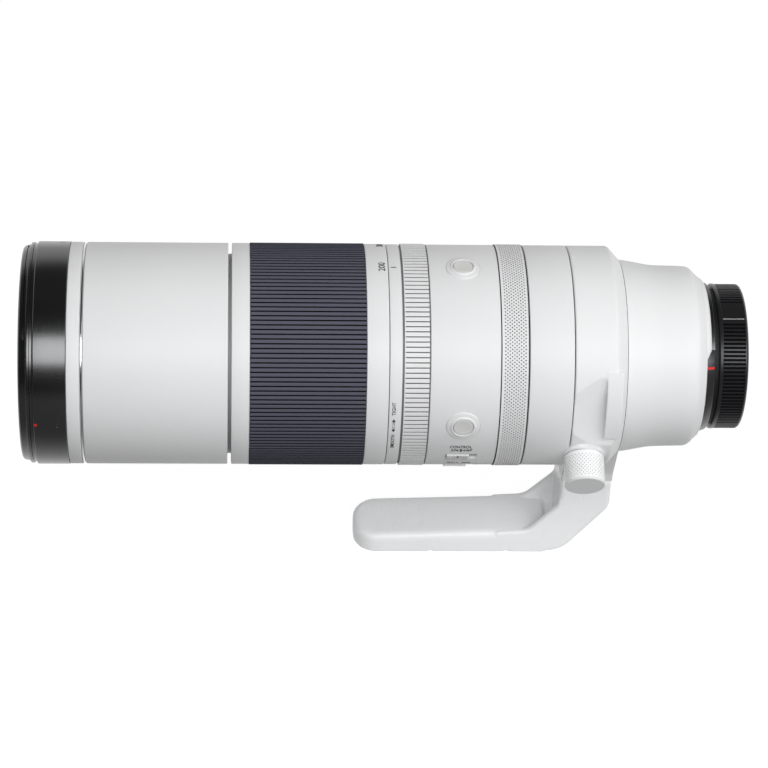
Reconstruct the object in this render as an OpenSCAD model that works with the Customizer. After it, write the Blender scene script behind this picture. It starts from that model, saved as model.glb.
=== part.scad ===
// Super telephoto zoom lens in a white barrel, with a turning tripod collar and foot.
// Millimetres. X is the optical axis, the camera is at +X, and X = 0 is the mount's flange plane.
// +Z is twelve o'clock and -Y is the side with the switches.
// Round pieces are drawn in the lens frame, where z runs forward from the flange and x points up.
// A clock angle is measured from the switch side (0) up to twelve o'clock (90).

/* [Radii] */
// Radius of the fixed white barrel
barrel_r = 50.8; // [49:0.1:53]
// How far the widest rings stand proud of the barrel
ring_proud = 0.35; // [0.2:0.05:0.6]
// Wall of the outer shells
shell_wall = 1.8; // [1.6:0.1:2.2]
// Wall of the cam drum
drum_wall = 1.2; // [0.8:0.1:1.5]
// Wall of the fixed guide tube
guide_wall = 1.2; // [1:0.1:1.5]
// Wall of the extension tube
extension_wall = 1.5; // [1.2:0.1:1.8]
// Wall of the inner tube that carries the optical groups
inner_wall = 1.5; // [1.2:0.1:1.8]
// Space between tubes that pass each other
tube_gap = 0.3; // [0.25:0.05:0.4]
// Radial clearance of a running fit
running_fit = 0.06; // [0.03:0.01:0.1]

/* [Lengths from the flange forward] */
// Thickness of the mount ring
mount_t = 3.2; // [3:0.1:4]
// Length of the tapered rear barrel
rear_barrel_len = 37.7; // [34:0.1:42]
// Length of the tripod collar
collar_len = 24.3; // [24:0.1:28]
// Length of the plain barrel section ahead of the collar
rear_cover_len = 19.4; // [16:0.1:24]
// Length of the knurled control ring
control_len = 12.1; // [10:0.1:15]
// Length of the barrel section with the switches
main_len = 30.7; // [30:0.1:34]
// Length of the ribbed tension ring
tension_len = 11.2; // [9:0.1:14]
// Length of the index ring
index_len = 4.8; // [4:0.1:7]
// Length of the zoom ring's rear band, which carries the focal lengths
zoom_rear_len = 9.9; // [8:0.1:12]
// Length of the rubber grip
grip_len = 52.2; // [48:0.1:58]
// Length of the zoom ring's front band
zoom_front_len = 8.2; // [6:0.1:10]
// Length of the white front barrel
front_barrel_len = 64.5; // [60:0.1:70]
// Length of the polished ring
polished_len = 1.4; // [1:0.1:2]
// Length of the name ring, left bare
name_len = 6; // [5:0.1:8]
// Length of the black front ring
front_ring_len = 21.3; // [20:0.1:24]

/* [Gaps between rings] */
// Gap behind the collar
collar_gap = 0.3; // [0.3:0.05:0.5]
// Gap ahead of the collar and at each side of the control ring
ring_gap = 0.8; // [0.5:0.05:1]
// Gap behind the tension ring
tension_gap = 0.9; // [0.6:0.05:1.2]
// Gap ahead of the tension ring
index_gap = 1.7; // [1:0.05:2]
// Gap behind the zoom ring
zoom_gap = 0.3; // [0.3:0.05:0.5]
// Gap ahead of the zoom ring
front_gap = 1.6; // [1:0.05:2]

/* [Ribs] */
// Ribs round the rubber grip
grip_ribs = 150; // [120:1:160]
// Ribs round the tension ring
tension_ribs = 138; // [100:1:150]
// Ribs round the rear cap
cap_ribs = 120; // [90:1:130]
// Depth of the grip's ribs
grip_rib_depth = 0.6; // [0.4:0.05:0.8]
// Depth of the tension ring's ribs
tension_rib_depth = 0.4; // [0.3:0.05:0.6]
// Depth of the cap's ribs
cap_rib_depth = 0.4; // [0.3:0.05:0.6]

/* [Bayonet mount and rear cap] */
// Radius over the bayonet's three lugs
lug_r = 26.9; // [26.5:0.05:27.2]
// Width of the mount's flange outside the lugs
flange_w = 7.1; // [6.5:0.1:8]
// Height of the lugs above the bayonet's cylinder
lug_height = 1.5; // [1.2:0.1:1.8]
// Wall of the bayonet's cylinder
bayonet_wall = 2.9; // [2.5:0.1:3.5]
// Length of the bayonet's cylinder behind the flange
bayonet_len = 5.6; // [5:0.1:6]
// How far the rear cap stays inside the mount's edge
cap_inset = 0.3; // [0.1:0.1:1]
// Length of the rear cap behind the flange
cap_len = 15.5; // [14:0.1:18]
// Wall across the rear cap's end
cap_wall = 2; // [1.5:0.1:3]

/* [Front] */
// Wall of the front ring outside the filter thread
front_ring_wall = 3.65; // [3.4:0.05:4]
// Depth of the filter thread
filter_depth = 7; // [6.5:0.1:8]
// How much smaller than the filter thread the front element is
front_element_step = 2.5; // [2.1:0.1:3]

/* [Buttons and switches] */
// Radius of a function button
button_r = 4.5; // [4:0.1:5]
// Radius of the raised ring round a button
bezel_r = 5.7; // [5.6:0.1:6.5]
// Radius of the low mound that carries a button
mound_r = 7.7; // [7:0.1:9]
// Travel of a button
button_travel = 0.6; // [0.3:0.05:0.7]
// Length of a slider switch's cap
slider_len = 10.3; // [8:0.1:11]
// Width of a slider switch's cap
slider_w = 4.6; // [4:0.1:5]
// Travel of the three-way mode switch
mode_travel = 3.2; // [2:0.1:3.6]
// Travel of the two-way stabiliser switch
stabiliser_travel = 3.2; // [2:0.1:3.6]

/* [Collar and foot] */
// Thickness of the collar over its bearing on the guide tube, beyond the shells' own wall
bearing_step = 3; // [2.6:0.1:3.4]
// Height of the foot's sole below the axis
sole_drop = 112; // [106:0.5:118]
// Thickness of the foot's plate at its front end
plate_t = 10.2; // [9:0.1:12]
// Height that the plate gains from its front end to the stalk
plate_rise = 2.9; // [0.5:0.1:4]
// Width of the foot's plate
plate_w = 29; // [28:0.5:36]
// Length of the foot from its front end to the back of its stalk
foot_len = 121.8; // [112:0.1:130]
// Length of the stalk along the axis
stalk_len = 24.2; // [23:0.1:27]
// Width of the stalk at the foot's joint face
stalk_w = 26; // [24:0.5:28]
// Radius of the lock knob
knob_r = 9.2; // [8:0.1:10]
// Length of the lock knob
knob_len = 14.8; // [12:0.1:18]

/* [Iris] */
// Number of iris blades
blade_count = 9; // [7:1:9]
// Distance of the blades' pivots from the inner tube's bore
pivot_margin = 11.64; // [11.2:0.02:11.8]
// Distance of the blades' pivots from the edge of the open iris
iris_band = 11; // [10.6:0.1:13]
// Distance from a blade's pivot to its drive pin
drive_arm = 3.5; // [3.2:0.1:3.8]

/* [Hidden] */
$fn = 96;

// Overrun of every cut, and the clearance of a piece that is seated in another
cut = 1;
seat_fit = 0.02;

// Stations along the axis, each the rear end of its piece
rear_end_s = mount_t + rear_barrel_len;
collar_s = rear_end_s + collar_gap;
rear_cover_s = collar_s + collar_len + ring_gap;
neck_s = rear_cover_s + rear_cover_len;
control_s = neck_s + ring_gap;
main_s = control_s + control_len + ring_gap;
main_front_s = main_s + main_len;
tension_s = main_front_s + tension_gap;
index_s = tension_s + tension_len + index_gap;
zoom_s = index_s + index_len + zoom_gap;
grip_s = zoom_s + zoom_rear_len;
zoom_band_s = grip_s + grip_len;
zoom_front_s = zoom_band_s + zoom_front_len;
front_barrel_s = zoom_front_s + front_gap;
polished_s = front_barrel_s + front_barrel_len;
name_s = polished_s + polished_len;
front_ring_s = name_s + name_len;
front_s = front_ring_s + front_ring_len;

// Radii of the nested tubes, from the outside in
ring_r = barrel_r + ring_proud;
front_barrel_proud = 0.1;
front_barrel_r = barrel_r + front_barrel_proud;
shell_in_r = barrel_r - shell_wall;
drum_r = shell_in_r - tube_gap;
guide_r = drum_r - drum_wall - running_fit;
guide_in_r = guide_r - guide_wall;
extension_r = guide_in_r - tube_gap;
extension_in_r = extension_r - extension_wall;
inner_r = extension_in_r - tube_gap;
inner_bore_r = inner_r - inner_wall;
bearing_r = shell_in_r - bearing_step;
filter_r = ring_r - front_ring_wall;
front_element_r = filter_r - front_element_step;

// Radii of the mount and of the cap on it
mount_r = lug_r + flange_w;
bayonet_r = lug_r - lug_height;
throat_r = bayonet_r - bayonet_wall;
cap_r = mount_r - cap_inset;

// Conical steps that make up a lens face
face_steps = 12;

// Small edge breaks
edge_break = 0.4;
fine_break = 0.2;

// Rear barrel: outline as shares of its length and of the step between its two end radii
rear_drop = 6.2;
rear_top_r = barrel_r - rear_drop;
rear_outline_share = [[0, 0.15], [0.02, 0.29], [0.07, 0.43], [0.12, 0.61], [0.18, 0.715],
    [0.30, 0.735], [0.46, 0.745], [0.58, 0.758], [0.71, 0.82], [0.83, 0.905], [0.92, 0.962],
    [1, 1]];
spigot_wall = 1.8;
spigot_drop = 1.9;
spigot_r = rear_top_r - spigot_drop;
spigot_len = 5.4;
rear_wall = 4.8;
rear_bore_r = rear_top_r - rear_wall;
rear_floor_t = 5.8;
rear_floor_s = mount_t + rear_floor_t;

// Wide dark skirt of the mount ring, which covers the lower part of the flange's edge
skirt_t = 2.1;
skirt_w = 2;
skirt_r_in = mount_r - skirt_w;
skirt_half_angle = 136;

// Guide tube
guide_flange_t = 3;
bearing_wall = 2;
seal_t = 2.8;
seal_inset = 0.5;
guide_front_s = zoom_front_s - seal_t - seal_inset;

// Cam drum and followers
web_t = 2;
drum_lead = 4.6;
drum_rear_s = main_s + web_t + drum_lead;
drum_front_lead = 4;
drum_front_s = guide_front_s - drum_front_lead;
drum_flange_t = 3;
follower_r = 2;
follower_fit = 0.15;
follower_count = 3;
follower_lead = 6;
follower_s = drum_rear_s + follower_lead;
follower_tip_drop = 0.3;
follower_tip_r = drum_r - follower_tip_drop;
zoom_travel = drum_front_s - follower_lead - follower_r - follower_s;
zoom_angle = 120;
slot_steps = 24;
extension_tail = 2;
extension_rear_s = follower_s - follower_r - extension_tail;

// Inner tube with its rear wall
inner_ledge = 0.7;
inner_rear_s = rear_cover_s + guide_flange_t + inner_ledge;
inner_wall_t = 3;
inner_wall_w = 12.64;
inner_wall_in_r = inner_bore_r - inner_wall_w;

// Iris
pivot_r = inner_bore_r - pivot_margin;
iris_r = pivot_r - iris_band;
iris_lead = 56;
iris_s = inner_rear_s + iris_lead;
iris_plate_t = 2;
blade_t = 0.2;
blade_pitch = 0.35;
blade_band = 10;
blade_span_angle = 75;
blade_arm_w = 2.2;
pin_r = 0.7;
pin_fit = 0.1;
iris_ring_t = 1.5;
iris_ring_clear = 0.4;
iris_ring_s = iris_s + iris_plate_t + (blade_count + 1) * blade_pitch + iris_ring_clear;
iris_ring_margin = 3.5;
iris_ring_inset = 2.3;
iris_guide_fit = 0.3;
iris_hole_margin = 0.5;
iris_ring_r = pivot_r + drive_arm + iris_ring_margin;
iris_ring_in_r = pivot_r + drive_arm - iris_ring_inset;
iris_guide_r = iris_ring_r + iris_guide_fit;
blade_turn_angle = 25;

// Focus group
rod_r = 1.5;
focus_boss_r = 3.4;
focus_boss_gap = 1.24;
rod_circle_r = inner_bore_r - focus_boss_r - focus_boss_gap;
rod_seat = 1.2;
focus_reach = 14;
focus_r = rod_circle_r - focus_reach;
focus_wall = 3;
focus_lead = 30;
focus_s = inner_rear_s + focus_lead;
focus_len = 10;
focus_curve_share = [5, -5];
motor_depth = 9.64;
motor_in_r = inner_bore_r - motor_depth;
motor_half_angle = 18;
motor_lead = 22;
motor_s = inner_rear_s + motor_lead;
motor_gap = 4;
motor_len = iris_s - motor_gap - motor_s;

// Variator group
variator_wall = 9.58;
variator_r = inner_bore_r - running_fit - variator_wall;
variator_len = 28;
variator_lead = 14;
variator_s = iris_s + variator_lead;
variator_travel = 25;
variator_curve_share = [-4, -6];
inner_front_margin = 7;
inner_front_s = variator_s + variator_len + variator_travel + inner_front_margin;

// Stabiliser group
stabiliser_lead = 10.8;
stabiliser_s = collar_s + stabiliser_lead;
stabiliser_plate_t = 2;
stabiliser_gap = 0.3;
stabiliser_frame_gap = 8;
stabiliser_frame_r = bearing_r - bearing_wall - stabiliser_frame_gap;
stabiliser_frame_w = 19;
stabiliser_r = stabiliser_frame_r - stabiliser_frame_w;
stabiliser_wall = 4;
stabiliser_cell_t = 4;
stabiliser_hole_margin = 3;
stabiliser_hole_r = stabiliser_r + stabiliser_hole_margin;
stabiliser_arm_half_angle = 14;
stabiliser_curve_share = [6, 6];

// Rear group
rear_cell_gap = 9.8;
rear_cell_r = rear_bore_r - rear_cell_gap;
rear_cell_wall = 3;
rear_lens_r = rear_cell_r - rear_cell_wall;
rear_cell_lead = 2;
rear_cell_s = rear_floor_s + rear_cell_lead;
rear_cell_len = 24;
rear_cell_flange_t = 3;
rear_lip = 1.5;
rear_lens_curve_share = [[8, -5], [4, 9]];

// Main board
board_t = 1.6;
board_gap = 1;
board_in_r = rear_cell_r + board_gap;
board_gap_half = 24;

// Front group
filter_shoulder_s = front_s - filter_depth;
front_cell_wall = 1.6;
front_cell_inset = 0.4;
front_seat_lead = 3.7;
front_cell_r = front_element_r + front_cell_wall;
front_cell_front_s = filter_shoulder_s - front_cell_inset;
front_seat_s = front_ring_s + front_seat_lead;
front_edge_t = 5.3;
front_curve_share = [4.6, -12];
front_curve = front_curve_share[0] * front_element_r;
front_cell_tail = 28.8;
doublet_seat = 1.4;
doublet_r = extension_in_r - doublet_seat;
doublet_lead = 16.8;
doublet_s = front_ring_s - doublet_lead;
doublet_curve_share = [8, -6];
doublet_edge_t = 12;
front_lip = 1.6;
retaining_t = 2;
front_flange_len = 10.4;
front_shell_wall = 1.4;
front_flange_r = front_barrel_r - front_shell_wall;
polished_inset = 0.3;

// Front ring: steps of its edge, each a distance back from the front and a radius below ring_r
rim_step_t = 2.4;
rim_drop = 2.75;
land_step_t = 2;
land_drop = 1.75;
groove_step_t = 1.6;
groove_drop = 1;
dimple_r = 1;
dimple_depth = 0.5;
dimple_back = 4.5;
dimple_angles = [0, 60, 180, 240];

// Zoom ring
grip_seat_drop = 0.9;

// Buttons
button_lead = 15.6;
button_s = main_s + button_lead;
button_proud = 1.3;
bezel_proud = 1.1;
mound_proud = 0.6;
button_ledge = 0.6;
button_flange = 0.5;
button_flange_t = 0.4;
button_fit = 0.15;
button_root_gap = 0.1;
button_root_r = shell_in_r + button_travel + button_root_gap;
top_angle = 90;
side_angle = 0;

// Slider switches, which run in slots over one thin base plate
slot_lead = 15.1;
slot_s = main_s + slot_lead;
switch_base_from_angle = -58;
switch_base_to_angle = -16;
switch_base_margin = 2.45;
switch_base_t = 0.35;
mode_angle = -26.5;
stabiliser_angle = -48.5;
slider_proud = 0.9;
slider_fit = 0.3;
slider_root_gap = 0.15;
slider_ribs = 3;
switch_base_len = slider_len + max(mode_travel, stabiliser_travel)
    + 2 * (slider_fit + switch_base_margin);

// Contacts
contact_depth = 2.9;
contact_in_r = throat_r - contact_depth;
contact_half_angle = 42;
contact_inset = 2.8;
contact_front_s = mount_t + contact_inset;
contact_recess = 0.6;
contact_back = bayonet_len - contact_recess;
pad_r = 0.8;
pad_t = 0.3;
pad_count = 11;
pad_step_angle = 7.2;

// Mount screws
screw_inset = 4;
screw_circle_r = mount_r - screw_inset;
screw_head_r = 1.7;
screw_head_t = 1.1;
screw_shank_r = 0.9;
screw_len = 6.5;
screw_count = 4;

// Bayonet lugs
lug_back = 3.7;
lug_t = 1.5;
lug_half_angle = 27;

// Rear cap
cap_face_gap = 0.3;
cap_neck = 1.2;
cap_neck_drop = 1.2;
cap_rim = 3.4;
cap_end_t = 1.3;
cap_rib_end = cap_len - cap_end_t;
cap_rib_inset = 0.1;
cap_bore_gap = 0.7;
cap_bore_r = lug_r + cap_bore_gap;
cap_tab_back = 4.2;
cap_tab_t = 1.5;
cap_tab_gap = 0.4;
cap_tab_r = bayonet_r + cap_tab_gap;
cap_tab_half_angle = 20;

// Collar
collar_chamfer_s = 5.4;
collar_tail_proud = 0.2;
collar_tail_r = rear_top_r + collar_tail_proud;
collar_lip_t = 3;
collar_lip_gap = 0.3;
collar_end_gap = 0.3;
collar_lip_r = spigot_r + collar_lip_gap;
bearing_end_s = collar_s + collar_lip_t + collar_end_gap;
stub_w = 42;
stub_top = 40;
seam_drop = 67;
stalk_overhang = 3;
stalk_rear_s = collar_s - stalk_overhang;
stalk_front_s = stalk_rear_s + stalk_len;
channel_r = 13;
channel_depth = 3.5;
plate_corner_r = 11.5;
heel_len = 21.4;
heel_rise = 28.5;
toe_len = 14.5;
toe_rise = 16;
strap_angle = 11;
strap_half_angle = 17;
strap_end_angle = 2;
strap_bar_lead = 3.4;
strap_bar_s = collar_s + strap_bar_lead;
strap_bar_len = 7.6;
strap_bar_t = 1.8;
strap_bar_proud = 0.3;
strap_floor_wall = 1.4;
strap_floor_r = bearing_r + strap_floor_wall;
strap_slot_len = 14.8;

// Lock knob and its boss
knob_angle = -24;
knob_lead = 17.4;
knob_s = collar_s + knob_lead;
boss_margin = 0.4;
boss_r = knob_r + boss_margin;
boss_proud = 0.7;
boss_top_r = barrel_r + boss_proud;
knob_gap = 0.3;
knob_stem_r = 3;
knob_stem_fit = 0.1;
knob_break = 0.6;

// Threads in the sole
quarter_inch_r = 3.175;
three_eighths_r = 4.7625;
thread_depth = 7.5;
quarter_inch_back = 32;
three_eighths_back = 56;
foot_front_s = stalk_rear_s + foot_len;
quarter_inch_s = foot_front_s - quarter_inch_back;
three_eighths_s = foot_front_s - three_eighths_back;

// Places the children in the lens frame, z forward from the flange and x up
module lens_frame() rotate([0, -90, 0]) children();

// Turns the children so that their x axis points at a clock angle
module at_clock(angle) rotate([0, 0, angle - 90]) children();

// A tube between two stations
module band(s0, s1, outer, inner) {
    translate([0, 0, s0]) difference() {
        cylinder(h = s1 - s0, r = outer);
        translate([0, 0, -cut]) cylinder(h = s1 - s0 + 2 * cut, r = inner);
    }
}

// A tube whose two outer edges are broken
module soft_band(s0, s1, outer, inner, edge) {
    rotate_extrude() polygon([[inner, s0], [outer - edge, s0], [outer, s0 + edge],
        [outer, s1 - edge], [outer - edge, s1], [inner, s1]]);
}

// A wedge of space between two clock angles, less than a half turn wide
module wedge(from, to, reach, s0, s1) {
    middle = (from + to) / 2 - 90;
    far = 2 * reach;
    translate([0, 0, s0]) linear_extrude(height = s1 - s0)
        polygon([[0, 0], far * [cos(from - 90), sin(from - 90)], far * [cos(middle), sin(middle)],
            far * [cos(to - 90), sin(to - 90)]]);
}

// A sector of a tube
module sector(from, to, s0, s1, outer, inner) {
    intersection() {
        band(s0, s1, outer, inner);
        wedge(from, to, outer, s0 - cut, s1 + cut);
    }
}

// A cylinder that points outwards at a clock angle, between two distances from the axis
module spoke(angle, s, from, to, r) {
    at_clock(angle) translate([from, 0, s]) rotate([0, 90, 0]) cylinder(h = to - from, r = r);
}

// A ring with trapezoid ribs along the axis
module ribbed_band(s0, s1, outer, depth, count, inner) {
    step = 360 / count;
    rib_share = [[0.05, 0], [0.2, 1], [0.7, 1], [0.85, 0]];
    outline = [for (i = [0:count - 1]) for (p = rib_share)
        let (a = (i + p[0]) * step, r = outer - depth + p[1] * depth) [r * cos(a), r * sin(a)]];
    translate([0, 0, s0]) difference() {
        linear_extrude(height = s1 - s0) polygon(outline);
        translate([0, 0, -cut]) cylinder(h = s1 - s0 + 2 * cut, r = inner, $fn = 4 * count);
    }
}

// Height of a spherical cap over a disc, below 0 for a hollow face
function sag(curve, r) = curve == 0 ? 0 : sign(curve) * (abs(curve) - sqrt(curve * curve - r * r));

// A lens element: edge between two stations, and the radius of each face, below 0 if hollow
module element(s0, s1, r, front_curve, rear_curve) {
    steps = [0:1 / face_steps:1];
    front = [for (t = steps) [t * r, s1 + sag(front_curve, r) - sag(front_curve, t * r)]];
    rear = [for (t = steps) [(1 - t) * r, s0 - sag(rear_curve, r) + sag(rear_curve, (1 - t) * r)]];
    rotate_extrude() polygon(concat(front, rear));
}

module mount_screw_places() {
    for (i = [0:screw_count - 1])
        at_clock(45 + i * 360 / screw_count) translate([screw_circle_r, 0, 0]) children();
}

// Steel flange ring with its bayonet cylinder and three lugs
module mount_plate() color("dimgray") lens_frame() {
    difference() {
        union() {
            soft_band(0, mount_t, mount_r, throat_r, fine_break);
            sector(-90 - skirt_half_angle, -90, mount_t, mount_t + skirt_t, mount_r, skirt_r_in);
            sector(-90, -90 + skirt_half_angle, mount_t, mount_t + skirt_t, mount_r, skirt_r_in);
            band(-bayonet_len, 0, bayonet_r, throat_r);
            for (i = [0:2])
                sector(90 + i * 120 - lug_half_angle, 90 + i * 120 + lug_half_angle,
                    -lug_back, -lug_back + lug_t, lug_r, throat_r);
        }
        mount_screw_places() translate([0, 0, -cut]) {
            cylinder(h = screw_head_t + cut, r = screw_head_r + seat_fit);
            cylinder(h = mount_t + 2 * cut, r = screw_shank_r + seat_fit);
        }
        sector(-90 - contact_half_angle, -90 + contact_half_angle, -bayonet_len - cut,
            mount_t + cut, throat_r + seat_fit, contact_in_r);
    }
}

module mount_screws() color("silver") lens_frame() {
    mount_screw_places() difference() {
        union() {
            cylinder(h = screw_head_t, r = screw_head_r);
            cylinder(h = screw_len, r = screw_shank_r);
        }
        translate([-screw_head_r, -screw_head_t / 4, -cut])
            cube([2 * screw_head_r, screw_head_t / 2, cut + screw_head_t / 2]);
        translate([-screw_head_t / 4, -screw_head_r, -cut])
            cube([screw_head_t / 2, 2 * screw_head_r, cut + screw_head_t / 2]);
    }
}

module contact_block() color("black") lens_frame() {
    sector(-90 - contact_half_angle, -90 + contact_half_angle, -contact_back, contact_front_s,
        throat_r, contact_in_r);
}

module contact_pads() color("gold") lens_frame() {
    for (i = [0:pad_count - 1])
        at_clock(-90 + (i - (pad_count - 1) / 2) * pad_step_angle)
            translate([(contact_in_r + throat_r) / 2, 0, -contact_back - pad_t])
                cylinder(h = pad_t, r = pad_r);
}

// Tapered white barrel between the collar and the mount
module rear_barrel() color("whitesmoke") lens_frame() {
    step_r = rear_top_r - mount_r;
    outline = [for (p = rear_outline_share)
        [mount_r + p[1] * step_r, mount_t + p[0] * rear_barrel_len]];
    difference() {
        rotate_extrude() polygon(concat([[throat_r, mount_t]], outline,
            [[spigot_r, rear_end_s], [spigot_r, rear_end_s - spigot_len],
             [rear_bore_r, rear_end_s - spigot_len], [rear_bore_r, rear_floor_s],
             [throat_r, rear_floor_s]]));
        for (from = [-90 - skirt_half_angle, -90])
            sector(from, from + skirt_half_angle, mount_t - cut, mount_t + skirt_t,
                rear_top_r, skirt_r_in);
        mount_screw_places() cylinder(h = screw_len + seat_fit, r = screw_shank_r + seat_fit);
        sector(-90 - contact_half_angle, -90 + contact_half_angle, 0,
            contact_front_s + seat_fit, throat_r + seat_fit, contact_in_r);
    }
}

// Fixed tube: bearing for the collar at the rear, straight guide slots at the front
module guide_tube() color("darkgray") lens_frame() {
    difference() {
        rotate_extrude() polygon([
            [spigot_r - spigot_wall, rear_end_s - spigot_len], [spigot_r, rear_end_s - spigot_len],
            [spigot_r, bearing_end_s], [bearing_r, bearing_end_s], [bearing_r, rear_cover_s],
            [shell_in_r, rear_cover_s], [shell_in_r, rear_cover_s + guide_flange_t],
            [guide_r, rear_cover_s + guide_flange_t], [guide_r, guide_front_s],
            [guide_in_r, guide_front_s], [guide_in_r, inner_rear_s],
            [bearing_r - bearing_wall, inner_rear_s],
            [bearing_r - bearing_wall, bearing_end_s + bearing_wall],
            [spigot_r - spigot_wall, bearing_end_s + bearing_wall]]);
        for (i = [0:follower_count - 1])
            at_clock(i * 360 / follower_count)
                translate([0, -follower_r - follower_fit, follower_s - follower_r - follower_fit])
                    cube([ring_r, 2 * (follower_r + follower_fit),
                        zoom_travel + 2 * (follower_r + follower_fit)]);
    }
}

// Inner tube that carries the iris, the focus group and the variator
module inner_tube() color("gray") lens_frame() {
    difference() {
        union() {
            band(inner_rear_s, inner_front_s, inner_r, inner_bore_r);
            band(inner_rear_s, inner_rear_s + inner_wall_t, guide_in_r, inner_wall_in_r);
        }
        focus_rod_places() translate([0, 0, inner_rear_s + inner_wall_t - rod_seat])
            cylinder(h = rod_seat + cut, r = rod_r + seat_fit);
    }
}

module rear_cover() color("whitesmoke") lens_frame() {
    soft_band(rear_cover_s, neck_s, barrel_r, shell_in_r, edge_break);
}

// The raised seat of a function button
module button_seat(angle) {
    spoke(angle, button_s, shell_in_r, barrel_r + mound_proud, mound_r);
    spoke(angle, button_s, shell_in_r, barrel_r + bezel_proud, bezel_r);
}

module button_hole(angle) {
    spoke(angle, button_s, guide_r, barrel_r + 2 * button_proud, button_r + button_fit);
    spoke(angle, button_s, guide_r, barrel_r - button_ledge,
        button_r + button_flange + button_fit);
}

// Barrel section with the two buttons and the slots of the two switches
module main_barrel() color("whitesmoke") lens_frame() {
    difference() {
        union() {
            soft_band(main_s, main_front_s, barrel_r, shell_in_r, edge_break);
            band(main_s, main_s + web_t, barrel_r - edge_break, guide_r);
            band(neck_s, main_s + web_t, shell_in_r, guide_r);
            difference() {
                for (angle = [top_angle, side_angle]) button_seat(angle);
                translate([0, 0, main_s]) cylinder(h = main_len, r = shell_in_r);
            }
        }
        button_hole(top_angle);
        button_hole(side_angle);
        switch_base_place(switch_base_t + seat_fit, seat_fit);
        slider_slot(mode_angle, mode_travel);
        slider_slot(stabiliser_angle, stabiliser_travel);
    }
}

// The sector under both slots that the switches' base plate fills
module switch_base_place(thickness, margin) {
    rear_s = slot_s - switch_base_len / 2 - margin;
    sector(switch_base_from_angle, switch_base_to_angle, rear_s, rear_s + switch_base_len + 2 * margin,
        shell_in_r + thickness, shell_in_r - margin);
}

// A slider's slot through the barrel, open along its travel
module slider_slot(angle, travel) {
    half_w = slider_w / 2 + slider_fit;
    long = slider_len + travel + 2 * slider_fit;
    at_clock(angle) translate([shell_in_r - cut, -half_w, slot_s - long / 2])
        cube([shell_wall + slider_proud + cut, 2 * half_w, long]);
}

module switch_base() color("dimgray") lens_frame() switch_base_place(switch_base_t, 0);

// A slider at the front end of its travel, with raised thumb ribs
module slider(angle, travel) {
    root_r = shell_in_r + switch_base_t + slider_root_gap;
    rib_t = slider_len / (4 * slider_ribs);
    pitch = (slider_len - rib_t) / (slider_ribs - 1);
    at_clock(angle) translate([root_r, -slider_w / 2, slot_s + (travel - slider_len) / 2]) {
        cube([barrel_r + slider_proud / 2 - root_r, slider_w, slider_len]);
        for (i = [0:slider_ribs - 1]) translate([0, 0, i * pitch])
            cube([barrel_r + slider_proud - root_r, slider_w, rib_t]);
    }
}

module mode_switch() color("lightgray") lens_frame() slider(mode_angle, mode_travel);

module stabiliser_switch() color("lightgray") lens_frame()
    slider(stabiliser_angle, stabiliser_travel);

module function_button(angle) {
    spoke(angle, button_s, button_root_r, barrel_r + button_proud, button_r);
    spoke(angle, button_s, button_root_r, button_root_r + button_flange_t,
        button_r + button_flange);
}

module top_button() color("lightgray") lens_frame() function_button(top_angle);

module side_button() color("lightgray") lens_frame() function_button(side_angle);

// Fixed index ring with the thin neck on which the tension ring turns
module index_ring() color("whitesmoke") lens_frame() {
    neck_r = shell_in_r + shell_wall / 3;
    soft_band(index_s, index_s + index_len, barrel_r, shell_in_r, fine_break);
    band(main_front_s, index_s + index_len / 2, neck_r, shell_in_r);
}

module tension_ring() color("whitesmoke") lens_frame() {
    neck_r = shell_in_r + shell_wall / 3;
    bore_r = neck_r + running_fit;
    flange_r = ring_r - tension_rib_depth - fine_break;
    front = tension_s + tension_len;
    ribbed_band(tension_s + edge_break, front - edge_break, ring_r, tension_rib_depth,
        tension_ribs, bore_r);
    band(tension_s, tension_s + edge_break, flange_r, bore_r, $fn = 4 * tension_ribs);
    band(front - edge_break, front, flange_r, bore_r, $fn = 4 * tension_ribs);
}

module control_ring() color("whitesmoke") lens_frame() {
    soft_band(control_s, control_s + control_len, ring_r, shell_in_r + running_fit, edge_break);
}

module zoom_ring() color("whitesmoke") lens_frame() {
    seat_r = barrel_r - grip_seat_drop;
    rotate_extrude() polygon([[shell_in_r, zoom_s], [front_barrel_r - edge_break, zoom_s],
        [front_barrel_r, zoom_s + edge_break], [front_barrel_r, grip_s], [seat_r, grip_s],
        [seat_r, zoom_band_s], [front_barrel_r, zoom_band_s],
        [front_barrel_r, zoom_front_s - edge_break], [front_barrel_r - edge_break, zoom_front_s],
        [shell_in_r, zoom_front_s]]);
}

module zoom_grip() color("slategray") lens_frame() {
    ribbed_band(grip_s, zoom_band_s, ring_r, grip_rib_depth, grip_ribs,
        barrel_r - grip_seat_drop);
}

// One short straight piece of a cam slot, tangent to the drum
module slot_piece(turn_share) {
    lead = atan2(zoom_travel, drum_r * zoom_angle * PI / 180);
    long = sqrt(pow(zoom_travel, 2) + pow(drum_r * zoom_angle * PI / 180, 2)) / slot_steps
        + follower_r;
    at_clock(turn_share * zoom_angle) translate([drum_r, 0, follower_s + turn_share * zoom_travel])
        rotate([lead, 0, 0])
            cube([4 * drum_wall, long, 2 * (follower_r + follower_fit)], center = true);
}

// Drum that turns with the zoom ring and drives the followers along three helical slots
module cam_drum() color("dimgray") lens_frame() {
    difference() {
        union() {
            band(drum_rear_s, drum_front_s, drum_r, guide_r + running_fit);
            band(drum_front_s - drum_flange_t, drum_front_s, shell_in_r, drum_r - drum_wall / 2);
        }
        for (i = [0:follower_count - 1]) rotate([0, 0, i * 360 / follower_count]) {
            for (j = [0:slot_steps - 1]) slot_piece((j + 0.5) / slot_steps);
            for (end = [0, 1])
                spoke(end * zoom_angle, follower_s + end * zoom_travel, guide_in_r, ring_r,
                    follower_r + follower_fit);
        }
    }
}

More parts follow.
